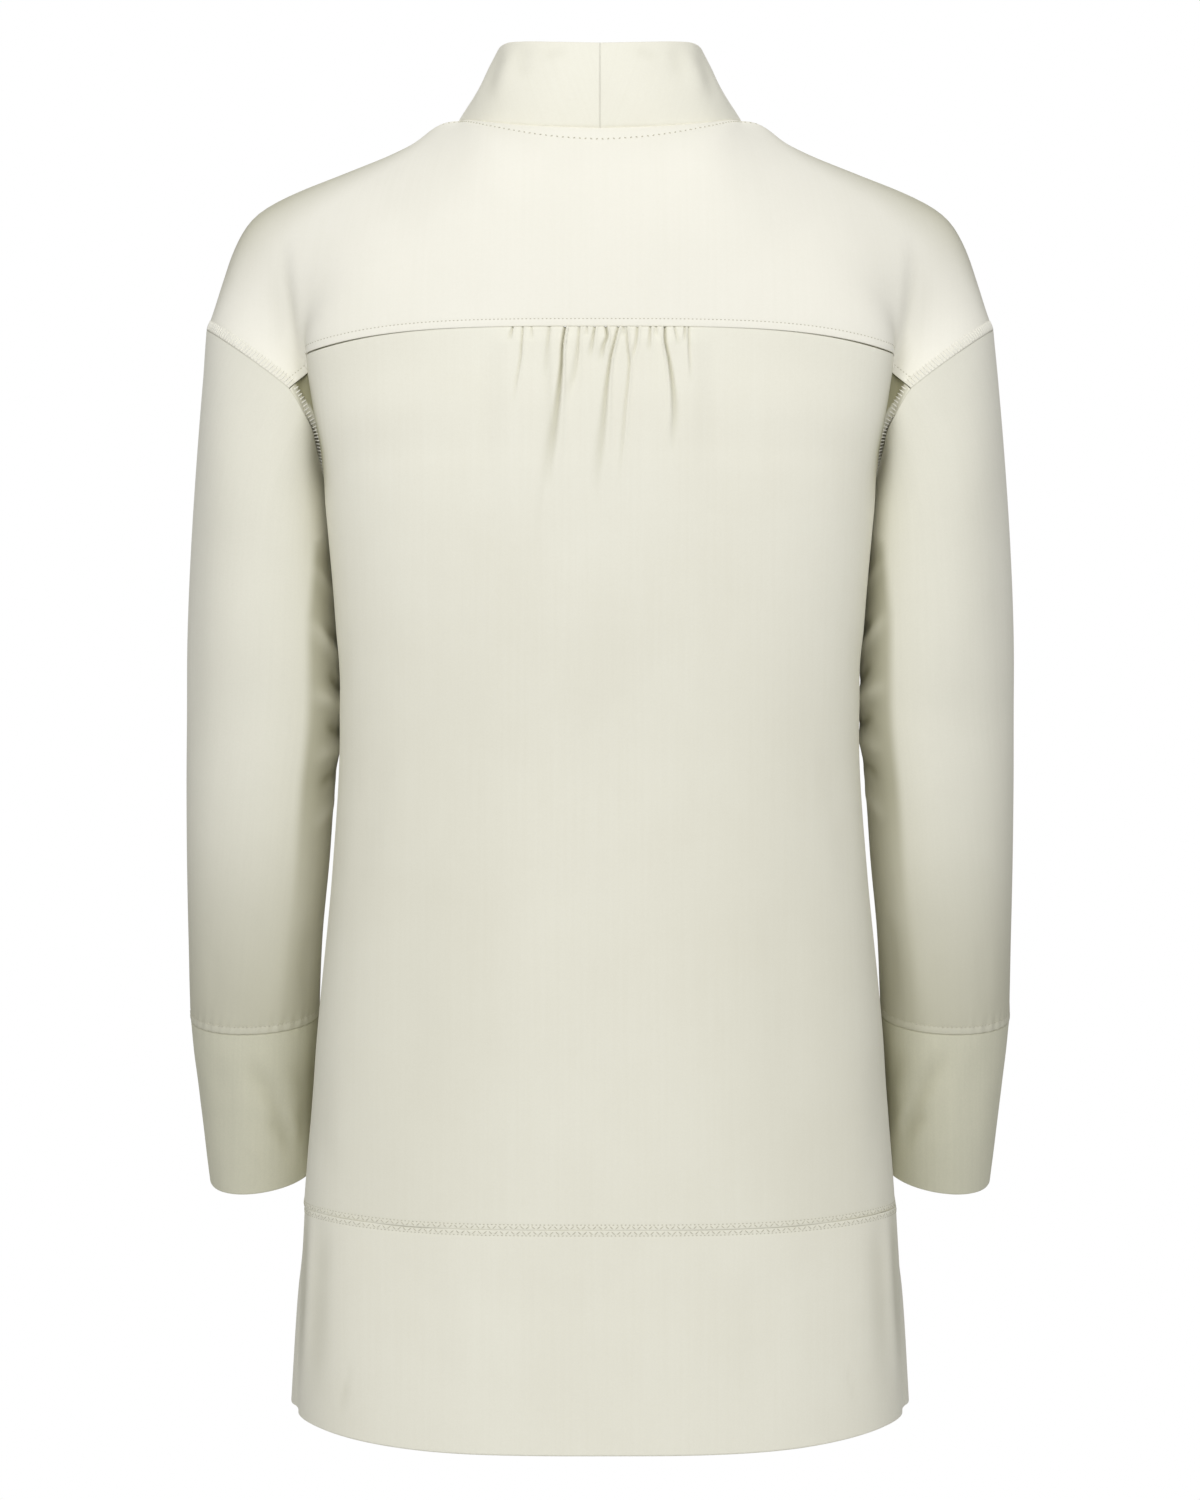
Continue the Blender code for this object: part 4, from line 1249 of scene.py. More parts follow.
@dataclass
class BackYoke(Piece):
    """The yoke over both shoulders: sewn over the gathers below, its neck edge taped."""

    node: ClassVar[str] = "back_yoke"
    sewing_name: ClassVar[str] = "yoke_sewing"
    cut: Cut = Cut(560, 152)
    tape_deep: float = 11.6         # the neck tape's sewing below the collar
    tape_ends: float = 0.42         # place across where the tape ends
    hem_deep: float = 4.6           # the sewing above the yoke's lower edge
    cover_deep: float = 6.2         # the cover stitch beside the armhole
    cover_painted_shade: float = 0.14        # painted shade in the gaps under it
    shoulder_painted_shade: float = 0.5      # painted shade over the shoulder, where the light falls off
    seam_painted_shade: float = 0.22         # painted shade beside the shoulder's seam
    taut_times: int = 120           # how often its open cloth is evened out along the rows
    creases: tuple[Crease, ...] = (
        # these four lay painted shade along the fold before each armhole; the depthless ones are painted
        # shade only, on the sleeve cap's side
        Crease(((191, -72), (189, -94), (185, -116), (181.5, -142), (178, -190)), 0.3, 2.6, 0.12),
        Crease(((196, -74), (195, -98), (191, -120), (188, -144), (184, -190)), 0.0, 8.0, 0.08),
        Crease(((-191, -74), (-189, -96), (-185, -118), (-181.5, -143), (-178, -190)), 0.3, 2.6, 0.11),
        Crease(((-196, -76), (-195, -100), (-191, -122), (-188, -145), (-184, -190)), 0.0, 8.0, 0.07),
        Crease(((150, -44), (120, -70), (104, -104)), 0.5, 14),
        Crease(((-144, -44), (-118, -74), (-98, -110)), 0.5, 15),
        Crease(((60, -20), (70, -52), (66, -92)), 0.35, 16),
        Crease(((-56, -22), (-64, -60), (-60, -98)), 0.35, 14))

    def build(self) -> Cloth:
        """Shape the cloth.

        Returns:
            The shaped piece.
        """
        keys = np.linspace(-1, 1, 801)
        columns = places_by_length(FORM.upper(BACK, keys, np.full(801, 0.8)), keys,
                                   fine_ends(fine=0.7, coarse=2.6, band=8))
        keys = np.linspace(0, 1, 201)
        rows = places_by_length(FORM.upper(BACK, np.full(201, 0.15), keys), keys,
                                fine_ends(fine=0.45, coarse=2.2, band=10))
        form = FORM.upper(BACK, columns[None, :], rows[:, None])
        place, down = np.broadcast_arrays(np.abs(columns)[None, :], rows[:, None])
        taut = between(0.15, 0.32, 0.94, 1.0, place) * between(0.08, 0.4, 0.72, 0.96, down)
        cloth = Cloth("yoke_cloth", relaxed(form, taut, self.taut_times), smooth=2)
        cloth.sewn = np.abs(columns) < self.tape_ends - 0.02
        at_neck = fade(self.tape_ends - 0.05, self.tape_ends, place)
        cloth.pinch(cloth.down, depth=0.5, width=1.2, shade=0.0)
        cloth.sew_down(cloth.down, self.tape_deep, puff=0.45, groove=0.08, share=at_neck)
        cloth.sew_down(cloth.up, self.hem_deep)
        cloth.pinch(cloth.up, depth=0.15, width=0.4, shade=0.1)
        for distance in (cloth.across, cloth.to_right):
            cloth.pinch(distance, depth=0.12, width=0.4, shade=0.3)
            cloth.sew_down(distance, self.cover_deep)
            # painted shade between the cover stitch's rungs
            cloth.shade += self.cover_painted_shade * between(0.6, 1.4, 5.6, 6.6, distance) * ease(0.2, 0.9, down)
        x, z = cloth.form[..., 0], cloth.form[..., 2]
        cloth.crease(self.creases, x, z)
        cloth.relief += edge_fold(x, z)
        # painted shade along the shoulder, where the light falls off towards the outline
        past_neck = ease(0.36, 0.48, place)
        cloth.shade += self.shoulder_painted_shade * fade(4, 48, cloth.down) * past_neck * fade(0.72, 0.98, place)
        # painted shade beside the shoulder's seam
        cloth.shade += self.seam_painted_shade * fade(0, 24, cloth.down) * past_neck
        return cloth

    def rows(self, cloth: Cloth) -> list[tuple[Sewing, Line]]:
        """Say where its rows of sewing run.

        Args:
            cloth: the shaped piece.

        Returns:
            Each row's sewing and its line on the cloth.
        """
        cover = self.cover_deep / 2 + 0.5
        return [(NECK_ZIGZAG, cloth.short(cloth.row_line(self.tape_deep))),
                (NEEDLE, cloth.row_line(self.hem_deep, from_bottom=True)),
                *((COVER_RUNGS, cloth.column_line(cover, right)) for right in (False, True))]


@dataclass(frozen=True)
class Gather:
    """A gather in the cloth under the yoke: a sharp crease at the seam that softens as it falls."""

    path: tuple[tuple[float, float], ...]   # distance below the seam, and from the centre to the left
    depth: float
    width: float
    spread: float = 2.0         # how much wider its end is
    lip: int = -1               # the side that stands over it

    def height_at(self, place: np.ndarray, below: np.ndarray) -> tuple[np.ndarray, np.ndarray]:
        """Say how far it lifts or sinks the cloth.

        Args:
            place: distances from the centre, on the wearer's left.
            below: distances below the seam.

        Returns:
            The height at each place, and the painted shade in its trough.
        """
        length = self.path[-1][0]
        part = below / length
        away = (place - Curve(self.path).at(below)[..., 0]) * self.lip
        width = self.width * mix(1.0, self.spread, ease(0.15, 1.0, part))
        strength = (1 - 0.45 * ease(0.1, 0.7, part)) * (1 - ease(0.6, 1.2, part))
        trough = strength * hump(away, np.where(away > 0, 0.6 * width, 1.25 * width))
        lip = strength * hump(away - 1.6 * width, 0.9 * width)
        return self.depth * (0.55 * lip - trough), min(0.8, 0.26 * self.depth) * trough


@dataclass
class BackBody(Piece):
    """The back of the body, gathered under the middle of the yoke."""

    node: ClassVar[str] = "back_body"
    sewing_name: ClassVar[str] = "back_sewing"
    held: ClassVar[str] = "gathered"
    cut: Cut = Cut(455, 545)
    hem_deep: float = 3.2           # the sewing above the hem band's seam
    cover_deep: float = 5.0         # the cover stitch beside the armhole
    cover_painted_shade: float = 0.2         # painted shade in the gaps under it
    seam_painted_shade: float = 0.2          # painted shade at the yoke's seam
    tone: float = 0.09              # painted shade lower down, and once more at its sides
    fullness: float = 2.3           # how far the gathered cloth stands out
    fullness_ends: float = 57.0     # its distance from the centre
    gathers: tuple[Gather, ...] = (
        Gather(((0, 51.2), (8, 53.2)), 1.9, 0.7),
        Gather(((0, 45.3), (9, 45.8), (20, 46.7), (31, 48.6), (42, 50.2)), 1.7, 0.6, 1.5),
        Gather(((0, 40.3), (8, 39.8)), 1.2, 0.6), Gather(((0, 29.6), (12, 30.8), (30, 32.0)), 0.9, 0.8),
        Gather(((0, 20.4), (11, 21.9), (24, 22.5), (38, 23.8), (53, 25.6), (68, 27.5), (84, 29.6)),
               3.3, 0.75, 3.9),
        Gather(((60, 29.5), (90, 33.0), (132, 38.5)), 0.35, 2.2, 1.3),
        Gather(((0, 12.0), (17, 13.3), (26, 14.5), (40, 18.2)), 1.5, 0.75, 3.0),
        Gather(((0, 7.4), (6, 7.8)), 1.3, 0.6), Gather(((0, 2.8), (14, 5.0), (18, 5.6)), 2.2, 0.7),
        Gather(((0, -3.6), (7, -4.2), (11, -2.6), (20, -0.9)), 2.8, 0.75),
        Gather(((0, -11.0), (9, -8.8), (18, -6.6), (28, -5.1), (39, -3.8), (54, -2.5), (70, -0.9),
               (90, 1.0)), 2.3, 0.7, 3.9),
        Gather(((0, -14.1), (6, -14.4)), 1.5, 0.6),
        Gather(((0, -15.7), (11, -16.3), (21, -17.4), (32, -16.7), (44, -15.4), (63, -13.9),
               (84, -12.0)), 1.6, 0.62, 1.8),
        Gather(((0, -22.3), (10, -21.3), (20, -18.9)), 2.0, 0.7, 1.2),
        Gather(((0, -29.9), (15, -28.9)), 1.7, 0.65), Gather(((0, -33.3), (6, -33.5)), 1.3, 0.6),
        Gather(((0, -38.0), (9, -38.1), (17, -39.7), (28, -41.5), (39, -42.8), (50, -43.4), (66, -42.6)),
               2.7, 0.75, 2.8, 1),
        Gather(((0, -43.6), (11, -45.9)), 1.5, 0.6, 2.0, 1),
        Gather(((0, -49.8), (9, -49.9)), 1.6, 0.7, 2.0, 1),
        Gather(((0, -52.0), (13, -52.2), (30, -53.3)), 1.5, 0.65, 1.6, 1))
    creases: tuple[Crease, ...] = (
        Crease(((150, -306), (154, -332), (153, -366)), 0.9, 5),
        Crease(((124, -376), (138, -432), (147, -486)), 0.8, 7),
        Crease(((-150, -308), (-156, -334), (-155, -358)), 0.9, 5),
        Crease(((-130, -374), (-144, -430), (-153, -494)), 0.8, 7),
        # these two lay deep painted shade in the valley under the fold before each armhole
        Crease(((182, -128), (179.5, -160), (175, -182), (169, -206), (163, -240)), 3.5, 5.0, 2.6),
        Crease(((-182, -128), (-179.5, -160), (-175, -182), (-169, -206), (-163, -240)), 3.5, 5.0, 2.6),
        Crease(((104, -420), (112, -520), (108, -640)), 1.1, 17),
        Crease(((-98, -440), (-110, -540), (-112, -650)), 1.0, 16),
        Crease(((38, -250), (47, -330), (46, -440)), 0.55, 14),
        Crease(((-34, -230), (-38, -320), (-30, -420)), 0.5, 15),
        Crease(((163, -560), (166, -610), (160, -655)), 0.9, 7),
        Crease(((-165, -556), (-166, -612), (-163, -655)), 0.9, 7),
        Crease(((4, -470), (-4, -560), (6, -660)), 0.5, 20))
    waves: tuple[Wave, ...] = (
        Wave(0.5, 132, 2100, 0.10), Wave(0.3, 71, -1500, 0.35), Wave(0.25, 210, 330, 0.6))

    def build(self) -> Cloth:
        """Shape the cloth.

        Returns:
            The shaped piece.
        """
        def column_size(place: float, whole: float) -> float:
            """Keep the columns fine in the gathers and at the side seams."""
            return min(3.4, cell_near(abs(place - whole / 2), self.fullness_ends, 0.68, growth=0.16),
                       cell_near(min(place, whole - place), 7, 0.8))

        def row_size(place: float, whole: float) -> float:
            """Keep the rows fine under the yoke and at the hem band."""
            return min(6.0, cell_near(place, 4, 0.5, growth=0.055),
                       cell_near(whole - place, 7, 0.5, growth=0.22))

        keys = np.linspace(-1, 1, 801)
        columns = places_by_length(FORM.back(keys, np.zeros(801)), keys, column_size)
        keys = np.linspace(0, 2, 401)
        rows = places_by_length(FORM.back(np.full(401, 0.2), keys), keys, row_size)
        cloth = Cloth("back_cloth", FORM.back(columns[None, :], rows[:, None]), smooth=2)
        cloth.sewn = rows < 0.97
        x, z = cloth.form[..., 0], cloth.form[..., 2]
        below = cloth.down
        window = fade(self.fullness_ends - 5, self.fullness_ends + 12, np.abs(x))
        cloth.relief += self.fullness * window * mix(0.45, 1.0, ease(0, 10, below)) * fade(25, 135, below)
        cloth.crease(self.creases, x, z)
        cloth.relief += edge_fold(x, z)
        # painted shade, darker lower down and in broad hollows at the sides
        cloth.shade += self.tone * (ease(60, 260, below) + hump(z + 520, 190) * ease(20, 110, np.abs(x)))
        # each gather's trough gets painted shade
        for gather in self.gathers:
            height, shade = gather.height_at(x, below)
            cloth.relief += height
            cloth.shade += shade
        cloth.relief -= mix(0.15, 0.9, window) * hump(below, mix(0.6, 0.8, window))
        # painted shade along the yoke's seam
        cloth.shade += self.seam_painted_shade * hump(below, 0.5)
        cloth.pinch(cloth.up, depth=0.05, width=0.4, shade=0.05)
        cloth.sew_down(cloth.up, self.hem_deep)
        armhole = fade(0.9, 1.0, rows)[:, None]
        for distance in (cloth.across, cloth.to_right):
            cloth.pinch(distance, depth=0.15, width=0.45, shade=0.2)
            cloth.sew_down(distance, self.cover_deep, share=armhole)
            # painted shade is lifted off the cover stitch's band, and laid into the gaps between its rungs
            band = fade(5.6, 7.6, distance)
            cloth.shade *= mix(1.0, 0.1, band * armhole)
            cloth.shade += self.cover_painted_shade * armhole * ease(0.6, 1.4, distance) * band
        cloth.swell(self.waves, x, z, ease(120, 260, below))
        return cloth

    def rows(self, cloth: Cloth) -> list[tuple[Sewing, Line]]:
        """Say where its rows of sewing run.

        Args:
            cloth: the shaped piece.

        Returns:
            Each row's sewing and its line on the cloth.
        """
        cover = self.cover_deep / 2 + 1.1
        return [(HEM_ZIGZAG, cloth.row_line(self.hem_deep / 2, from_bottom=True)),
                (NEEDLE, cloth.row_line(self.hem_deep, from_bottom=True)),
                *((COVER_RUNGS, cloth.short(cloth.column_line(cover, right))) for right in (False, True))]


@dataclass
class Front(SidedPiece):
    """One plain open front, from the shoulder to the hem band."""

    kind: ClassVar[str] = "front"
    cut: Cut = Cut(214, 700, area=115000)
    cover_deep: float = 5.6         # the cover stitch beside the armhole
    hem_deep: float = 3.2           # the sewing above the hem band's seam
    shoulder_painted_shade: float = 0.55     # painted shade over the shoulder, where the light falls off
    right_scale: float = 0.8 ** 0.2         # the right one's creases: a factor for their heights,
    right_shift: float = 6.0        # and how far they then move inwards and down
    creases: tuple[Crease, ...] = (
        Crease(((180, -110), (154, -172), (116, -222)), 2.2, 9, 0.05),
        Crease(((168, -190), (146, -234), (108, -270)), 1.9, 8, 0.05),
        Crease(((128, -54), (110, -110), (98, -176)), 1.2, 11),
        Crease(((114, -290), (104, -400), (111, -540)), 1.8, 13),
        Crease(((142, -370), (138, -470), (152, -580)), 1.6, 10, 0.03),
        Crease(((86, -410), (91, -540), (84, -680)), 1.4, 11),
        Crease(((154, -300), (156, -336), (152, -372)), 0.9, 6),
        Crease(((166, -560), (170, -610), (164, -655)), 0.8, 8))
    waves: tuple[Wave, ...] = (
        Wave(0.6, 88, 1700, 0.2), Wave(0.35, 47, -900, 0.5))

    def build(self) -> Cloth:
        """Shape the cloth.

        Returns:
            The shaped piece.
        """
        keys = np.linspace(1, NECK_SHARE, 401)
        columns = places_by_length(FORM.front(keys, np.full(401, 0.5)), keys,
                                   fine_ends(fine=0.8, coarse=3.0, band=7))
        keys = np.linspace(0, 3, 451)       # down to the yoke seam's height, and from 150 on 1 + level
        line = np.concatenate([FORM.upper(FRONT, np.full(150, 0.6), keys[:150]),
                               FORM.front(np.full(301, 0.6), keys[150:] - 1)])
        rows = places_by_length(line, keys, fine_ends(fine=0.6, coarse=4.2, band=7))
        form = np.concatenate([FORM.upper(FRONT, columns[None, :], rows[rows < 1][:, None]),
                               FORM.front(columns[None, :], rows[rows >= 1][:, None] - 1)])
        cloth = Cloth(self.cloth_name, self.sided(form), smooth=2)
        cloth.sewn = (rows > 0) & (rows < 1.97)
        x, z = np.abs(cloth.form[..., 0]), cloth.form[..., 2]
        armhole, band = self.from_edges(cloth)
        cloth.pinch(cloth.down, depth=0.25, width=0.5, shade=0.2)
        cloth.pinch(cloth.up, depth=0.15, width=0.5, shade=0.0)
        cloth.sew_down(cloth.up, self.hem_deep)
        cloth.pinch(armhole, depth=0.2, width=0.5, shade=0.2)
        cloth.sew_down(armhole, self.cover_deep, share=fade(1.9, 2.0, rows)[:, None])
        cloth.pinch(band, depth=0.5, width=0.9, shade=0.2)
        # painted shade along the shoulder, where the light falls off towards the outline
        cloth.shade += self.shoulder_painted_shade * fade(0, 30, cloth.down) * between(88, 116, 178, 236, x)
        shift, scale = (0.0, 1.0) if self.is_left else (self.right_shift, self.right_scale)
        cloth.crease(self.creases, x + shift, (z + shift) / scale)
        cloth.swell(self.waves, x + 3 * shift, z, ease(60, 200, cloth.down))
        return cloth

    def rows(self, cloth: Cloth) -> list[tuple[Sewing, Line]]:
        """Say where its rows of sewing run.

        Args:
            cloth: the shaped piece.

        Returns:
            Each row's sewing and its line on the cloth.
        """
        beside_armhole = cloth.column_line(self.cover_deep / 2 + 0.5, not self.is_left)
        return [(HEM_ZIGZAG, cloth.row_line(self.hem_deep / 2, from_bottom=True)),
                (NEEDLE, cloth.row_line(self.hem_deep, from_bottom=True)),
                (COVER_RUNGS, cloth.short(beside_armhole))]


@dataclass
class HemBand(Piece):
    """The deep band under the back or a front: its lower edge turned in."""

    node: str
    cut: Cut
    cover_deep: float = 3.2         # the cover stitch below its seam
    turned: float = 24.0            # how deep its edge is turned in
    tone: float = 0.08              # painted shade over the whole band, darker than the body
    creases: tuple[Crease, ...] = (
        # the first six make the side folds, with painted shade in their troughs and a little taken off their
        # ridges
        Crease(((170, -640), (173, -712), (178, -790)), -1.2, 2.8, -0.04),
        Crease(((174, -640), (177, -710), (181, -780)), 1.1, 3.4, 0.28),
        Crease(((-169, -640), (-172, -708), (-177, -788)), -1.1, 2.8, -0.04),
        Crease(((-173, -642), (-176, -706), (-180, -778)), 1.0, 3.4, 0.28),
        Crease(((163, -650), (166, -715), (169, -784)), 0.7, 5.5, 0.14),
        Crease(((-162, -652), (-166, -715), (-168, -782)), 0.6, 5.5, 0.12),
        Crease(((146, -744), (149, -760), (153, -778)), 0.3, 1.3, 0.05),
        Crease(((150, -758), (152, -772), (153, -786)), 0.4, 2.4, 0.05),
        Crease(((-145, -746), (-148, -762), (-152, -779)), 0.28, 1.3, 0.05),
        Crease(((96, -676), (98, -730), (92, -790)), 0.9, 15),
        Crease(((-92, -680), (-97, -735), (-96, -790)), 0.8, 16),
        Crease(((34, -690), (30, -740), (34, -796)), 0.5, 18),
        Crease(((-40, -684), (-42, -744), (-36, -796)), 0.6, 17))
    waves: tuple[Wave, ...] = (
        Wave(0.5, 120, 2000, 0.1), Wave(0.3, 64, -1500, 0.4))

    def build(self) -> Cloth:
        """Shape the cloth.

        Returns:
            The shaped piece.
        """
        is_back = self.node == "hem_band_back"
        read = FORM.back if is_back else FORM.front
        keys = np.linspace(2, 3, 101)
        rows = places_by_length(read(np.full(101, 0.4), keys), keys, fine_ends(fine=0.35, coarse=3.4, band=7))
        keys = np.linspace(-1, 1, 801) if is_back else np.linspace(1, NECK_SHARE, 401)
        columns = places_by_length(read(keys, np.full(len(keys), 2.5)), keys,
                                   fine_ends(fine=0.9, coarse=2.6, band=6))
        form = read(columns[None, :], rows[:, None])
        is_right = self.node.endswith("right")
        cloth = Cloth(f"{self.node}_cloth", mirrored(form) if is_right else form, smooth=2)
        x, z = cloth.form[..., 0], cloth.form[..., 2]
        cloth.pinch(cloth.down, depth=0.05, width=0.4, shade=0.05)
        cloth.sew_down(cloth.down, self.cover_deep)
        for distance in (cloth.across, cloth.to_right):
            cloth.pinch(distance, depth=0.25, width=0.5, shade=0.2)
        cloth.crease(self.creases, x if is_back else -x, z)
        # painted shade over the whole band
        cloth.shade += self.tone
        cloth.swell(self.waves, x, z)
        cloth.turn_edge(cloth.up, self.turned)
        return cloth

    def rows(self, cloth: Cloth) -> list[tuple[Sewing, Line]]:
        """Say where its rows of sewing run.

        Args:
            cloth: the shaped piece.

        Returns:
            Each row's sewing and its line on the cloth.
        """
        return [(NEEDLE, cloth.row_line(self.cover_deep)),
                (HEM_ZIGZAG, cloth.row_line(self.cover_deep / 2))]


@dataclass
class SleevePiece(SidedPiece):
    """A piece that runs all the way round the arm."""

    girth: float = 0.0              # turns places around into millimetres, for the creases

    def tube(self, spaced_at: float, cell: float, keys: np.ndarray, size_of: Callable[[float, float], float]
             ) -> tuple[Cloth, np.ndarray, np.ndarray, np.ndarray]:
        """Lay a grid round a stretch of the sleeve.

        Args:
            spaced_at: the distance down at which its columns are evenly spaced.
            cell: their width there.
            keys: distances down, from the stretch's upper end to its lower end.
            size_of: the rule for its rows.

        Returns:
            The cloth, the left one's places around, and each point's millimetres around, from the outer
            side to the back, and its distance down.
        """
        turn = np.linspace(1, 0, 1001)
        ring = FORM.sleeve(turn, np.array([spaced_at]))[0]
        columns = places_by_length(ring, turn, lambda place, whole: cell)
        rows = places_by_length(FORM.sleeve(np.array([0.25]), keys)[:, 0], keys, size_of)
        form = FORM.sleeve(columns, rows)
        around = np.broadcast_to(columns[None, :] * self.girth, form.shape[:2])
        down = np.broadcast_to(rows[:, None], form.shape[:2])
        cloth = Cloth(self.cloth_name, self.sided(form), tube=True)
        return cloth, columns, around if self.is_left else around[:, ::-1], down


@dataclass
class Sleeve(SleevePiece):
    """One full sleeve, from the dropped armhole to the cuff's seam."""

    kind: ClassVar[str] = "sleeve"
    cut: Cut = Cut(320, 385)
    girth: float = 288.0
    hem_deep: float = 4.9           # the sewing above the cuff's seam
    tone: float = 0.142             # painted shade all over, but for the outer side of the upper arm, left lighter as a painted highlight
    forearm_painted_shade: float = 0.43      # more painted shade towards the cuff, as the forearm faces down
    strip_starts: tuple[tuple[float, float], ...] = (       # down, and around, where a strip of painted shade starts
        (230, 128), (245, 112), (300, 104), (470, 98), (548, 92))
    # down, and how much painted shade the strip has there
    strip_painted_shades: tuple[tuple[float, float], ...] = ((400, 0.55), (480, 0.10), (548, 0.05))
    elbow_rise: float = 1.3         # how far the cloth stands out inside the elbow
    creases: tuple[Crease, ...] = (  # millimetres around from the outer side to the back, and down
        # the elbow's folds: painted shade in their troughs, and less on their ridges
        Crease(((104, 300), (120, 318), (146, 334)), -2.0, 4.5, -0.2),
        Crease(((102, 346), (122, 354), (150, 364)), -2.4, 4.6, -0.2),
        Crease(((106, 386), (126, 384), (150, 382)), -1.8, 5, -0.15),
        Crease(((108, 262), (124, 278), (146, 292)), -1.3, 5, -0.12),
        Crease(((110, 428), (128, 420), (148, 412)), -1.3, 5, -0.12),
        Crease(((116, 334), (132, 344), (156, 350)), 1.8, 3.4, 0.3),
        Crease(((114, 366), (130, 372), (154, 374)), 1.6, 3.4, 0.3),
        Crease(((112, 404), (130, 398), (152, 396)), 1.3, 3.6, 0.25),
        Crease(((116, 306), (132, 312), (152, 318)), 1.2, 3.4, 0.2),
        Crease(((78, 236), (86, 300), (92, 372)), 0.6, 13),
        Crease(((54, 300), (58, 400), (62, 480)), 0.5, 15),
        Crease(((30, 250), (26, 330), (32, 420)), 0.4, 13),
        Crease(((170, 296), (196, 306), (214, 322)), 1.0, 9),
        Crease(((166, 340), (194, 346), (218, 360)), 1.2, 9),
        Crease(((170, 386), (198, 388), (222, 396)), 1.0, 9),
        Crease(((232, 236), (240, 300), (236, 360)), 0.7, 12),
        Crease(((252, 400), (256, 450), (250, 510)), 0.6, 10),
        Crease(((196, 430), (204, 470), (198, 520)), 0.7, 9),
        Crease(((74, 470), (80, 505), (76, 540)), 0.6, 7),
        Crease(((44, 492), (46, 516), (43, 543)), 0.4, 6),
        Crease(((118, 478), (114, 510), (117, 544)), 0.7, 8))
    waves: tuple[Wave, ...] = (
        Wave(0.35, 96, 700, 0.3), Wave(0.25, 58, -400, 0.1))

    def build(self) -> Cloth:
        """Shape the cloth.

        Returns:
            The shaped piece.
        """
        cloth, columns, around, down = self.tube(
            320.0, 2.1, np.linspace(FORM.ARMHOLE_DOWN, FORM.CUFF_DOWN, 401),
            fine_ends(fine=0.45, coarse=2.9, band=6))
        half, out = np.minimum(columns, 1 - columns), FORM.armhole_out(columns)
        if not self.is_left:
            half, out = half[::-1], mirrored(out[None])[0]
        cloth.face_as(out, fade(0.27, 0.32, half) * fade(2, 22, cloth.down))
        cloth.pinch(cloth.down, depth=0.12, width=0.45, shade=0.3)
        cloth.sew_down(cloth.up, self.hem_deep, puff=0.2)
        cloth.pucker(np.abs(cloth.up - 4.0), cloth.across, reach=6.0, pitch=5.2, height=0.5)
        self.paint_shade(cloth, around, down)
        cloth.pinch(cloth.up, depth=0.2, width=0.5, shade=0.2)
        cloth.relief += self.elbow_rise * hump(around - self.girth / 2, 20) * hump(down - 372, 48)
        shift = 0.0 if self.is_left else 5.0
        cloth.crease(self.creases, around - 0.4 * shift, down + shift)
        cloth.swell(self.waves, around + 9 * shift, down, ease(0, 30, cloth.down) * ease(0, 20, cloth.up))
        return cloth

    def paint_shade(self, cloth: Cloth, around: np.ndarray, down: np.ndarray) -> None:
        """Paint shade into the cloth by place: a strip inside the elbow, the lower sleeve and the inner side.

        Args:
            cloth: the sleeve.
            around: millimetres around, from the outer side to the back.
            down: distances down.
        """
        start = read_table(self.strip_starts, down)
        # painted shade in a strip on the inner side, where the arm is shaded by the body
        shade_strip = between(start - 4, start + 5, 150, 176, around) * ease(225, 262, down)
        cloth.shade += (shade_strip * (1 - 0.58 * ease(start + 10, 142, around))
                        * read_table(self.strip_painted_shades, down))
        # painted shade all over but for the outer upper arm, left lighter as a painted highlight
        outer = np.minimum(around, self.girth - around)
        cloth.shade += self.tone * (1 - fade(16, 60, outer) * fade(250, 390, down))
        # painted shade growing towards the cuff, where the forearm faces down
        cloth.shade += self.forearm_painted_shade * ease(380, 560, down)
        # less painted shade on the strip under the cuff's sewing
        cloth.shade *= mix(0.86, 1.0, ease(self.hem_deep - 0.5, self.hem_deep + 0.5, cloth.up))

    def rows(self, cloth: Cloth) -> list[tuple[Sewing, Line]]:
        """Say where its rows of sewing run.

        Args:
            cloth: the shaped piece.

        Returns:
            Each row's sewing and its line on the cloth.
        """
        return [(CUFF_NEEDLE, cloth.row_line(self.hem_deep, from_bottom=True))]


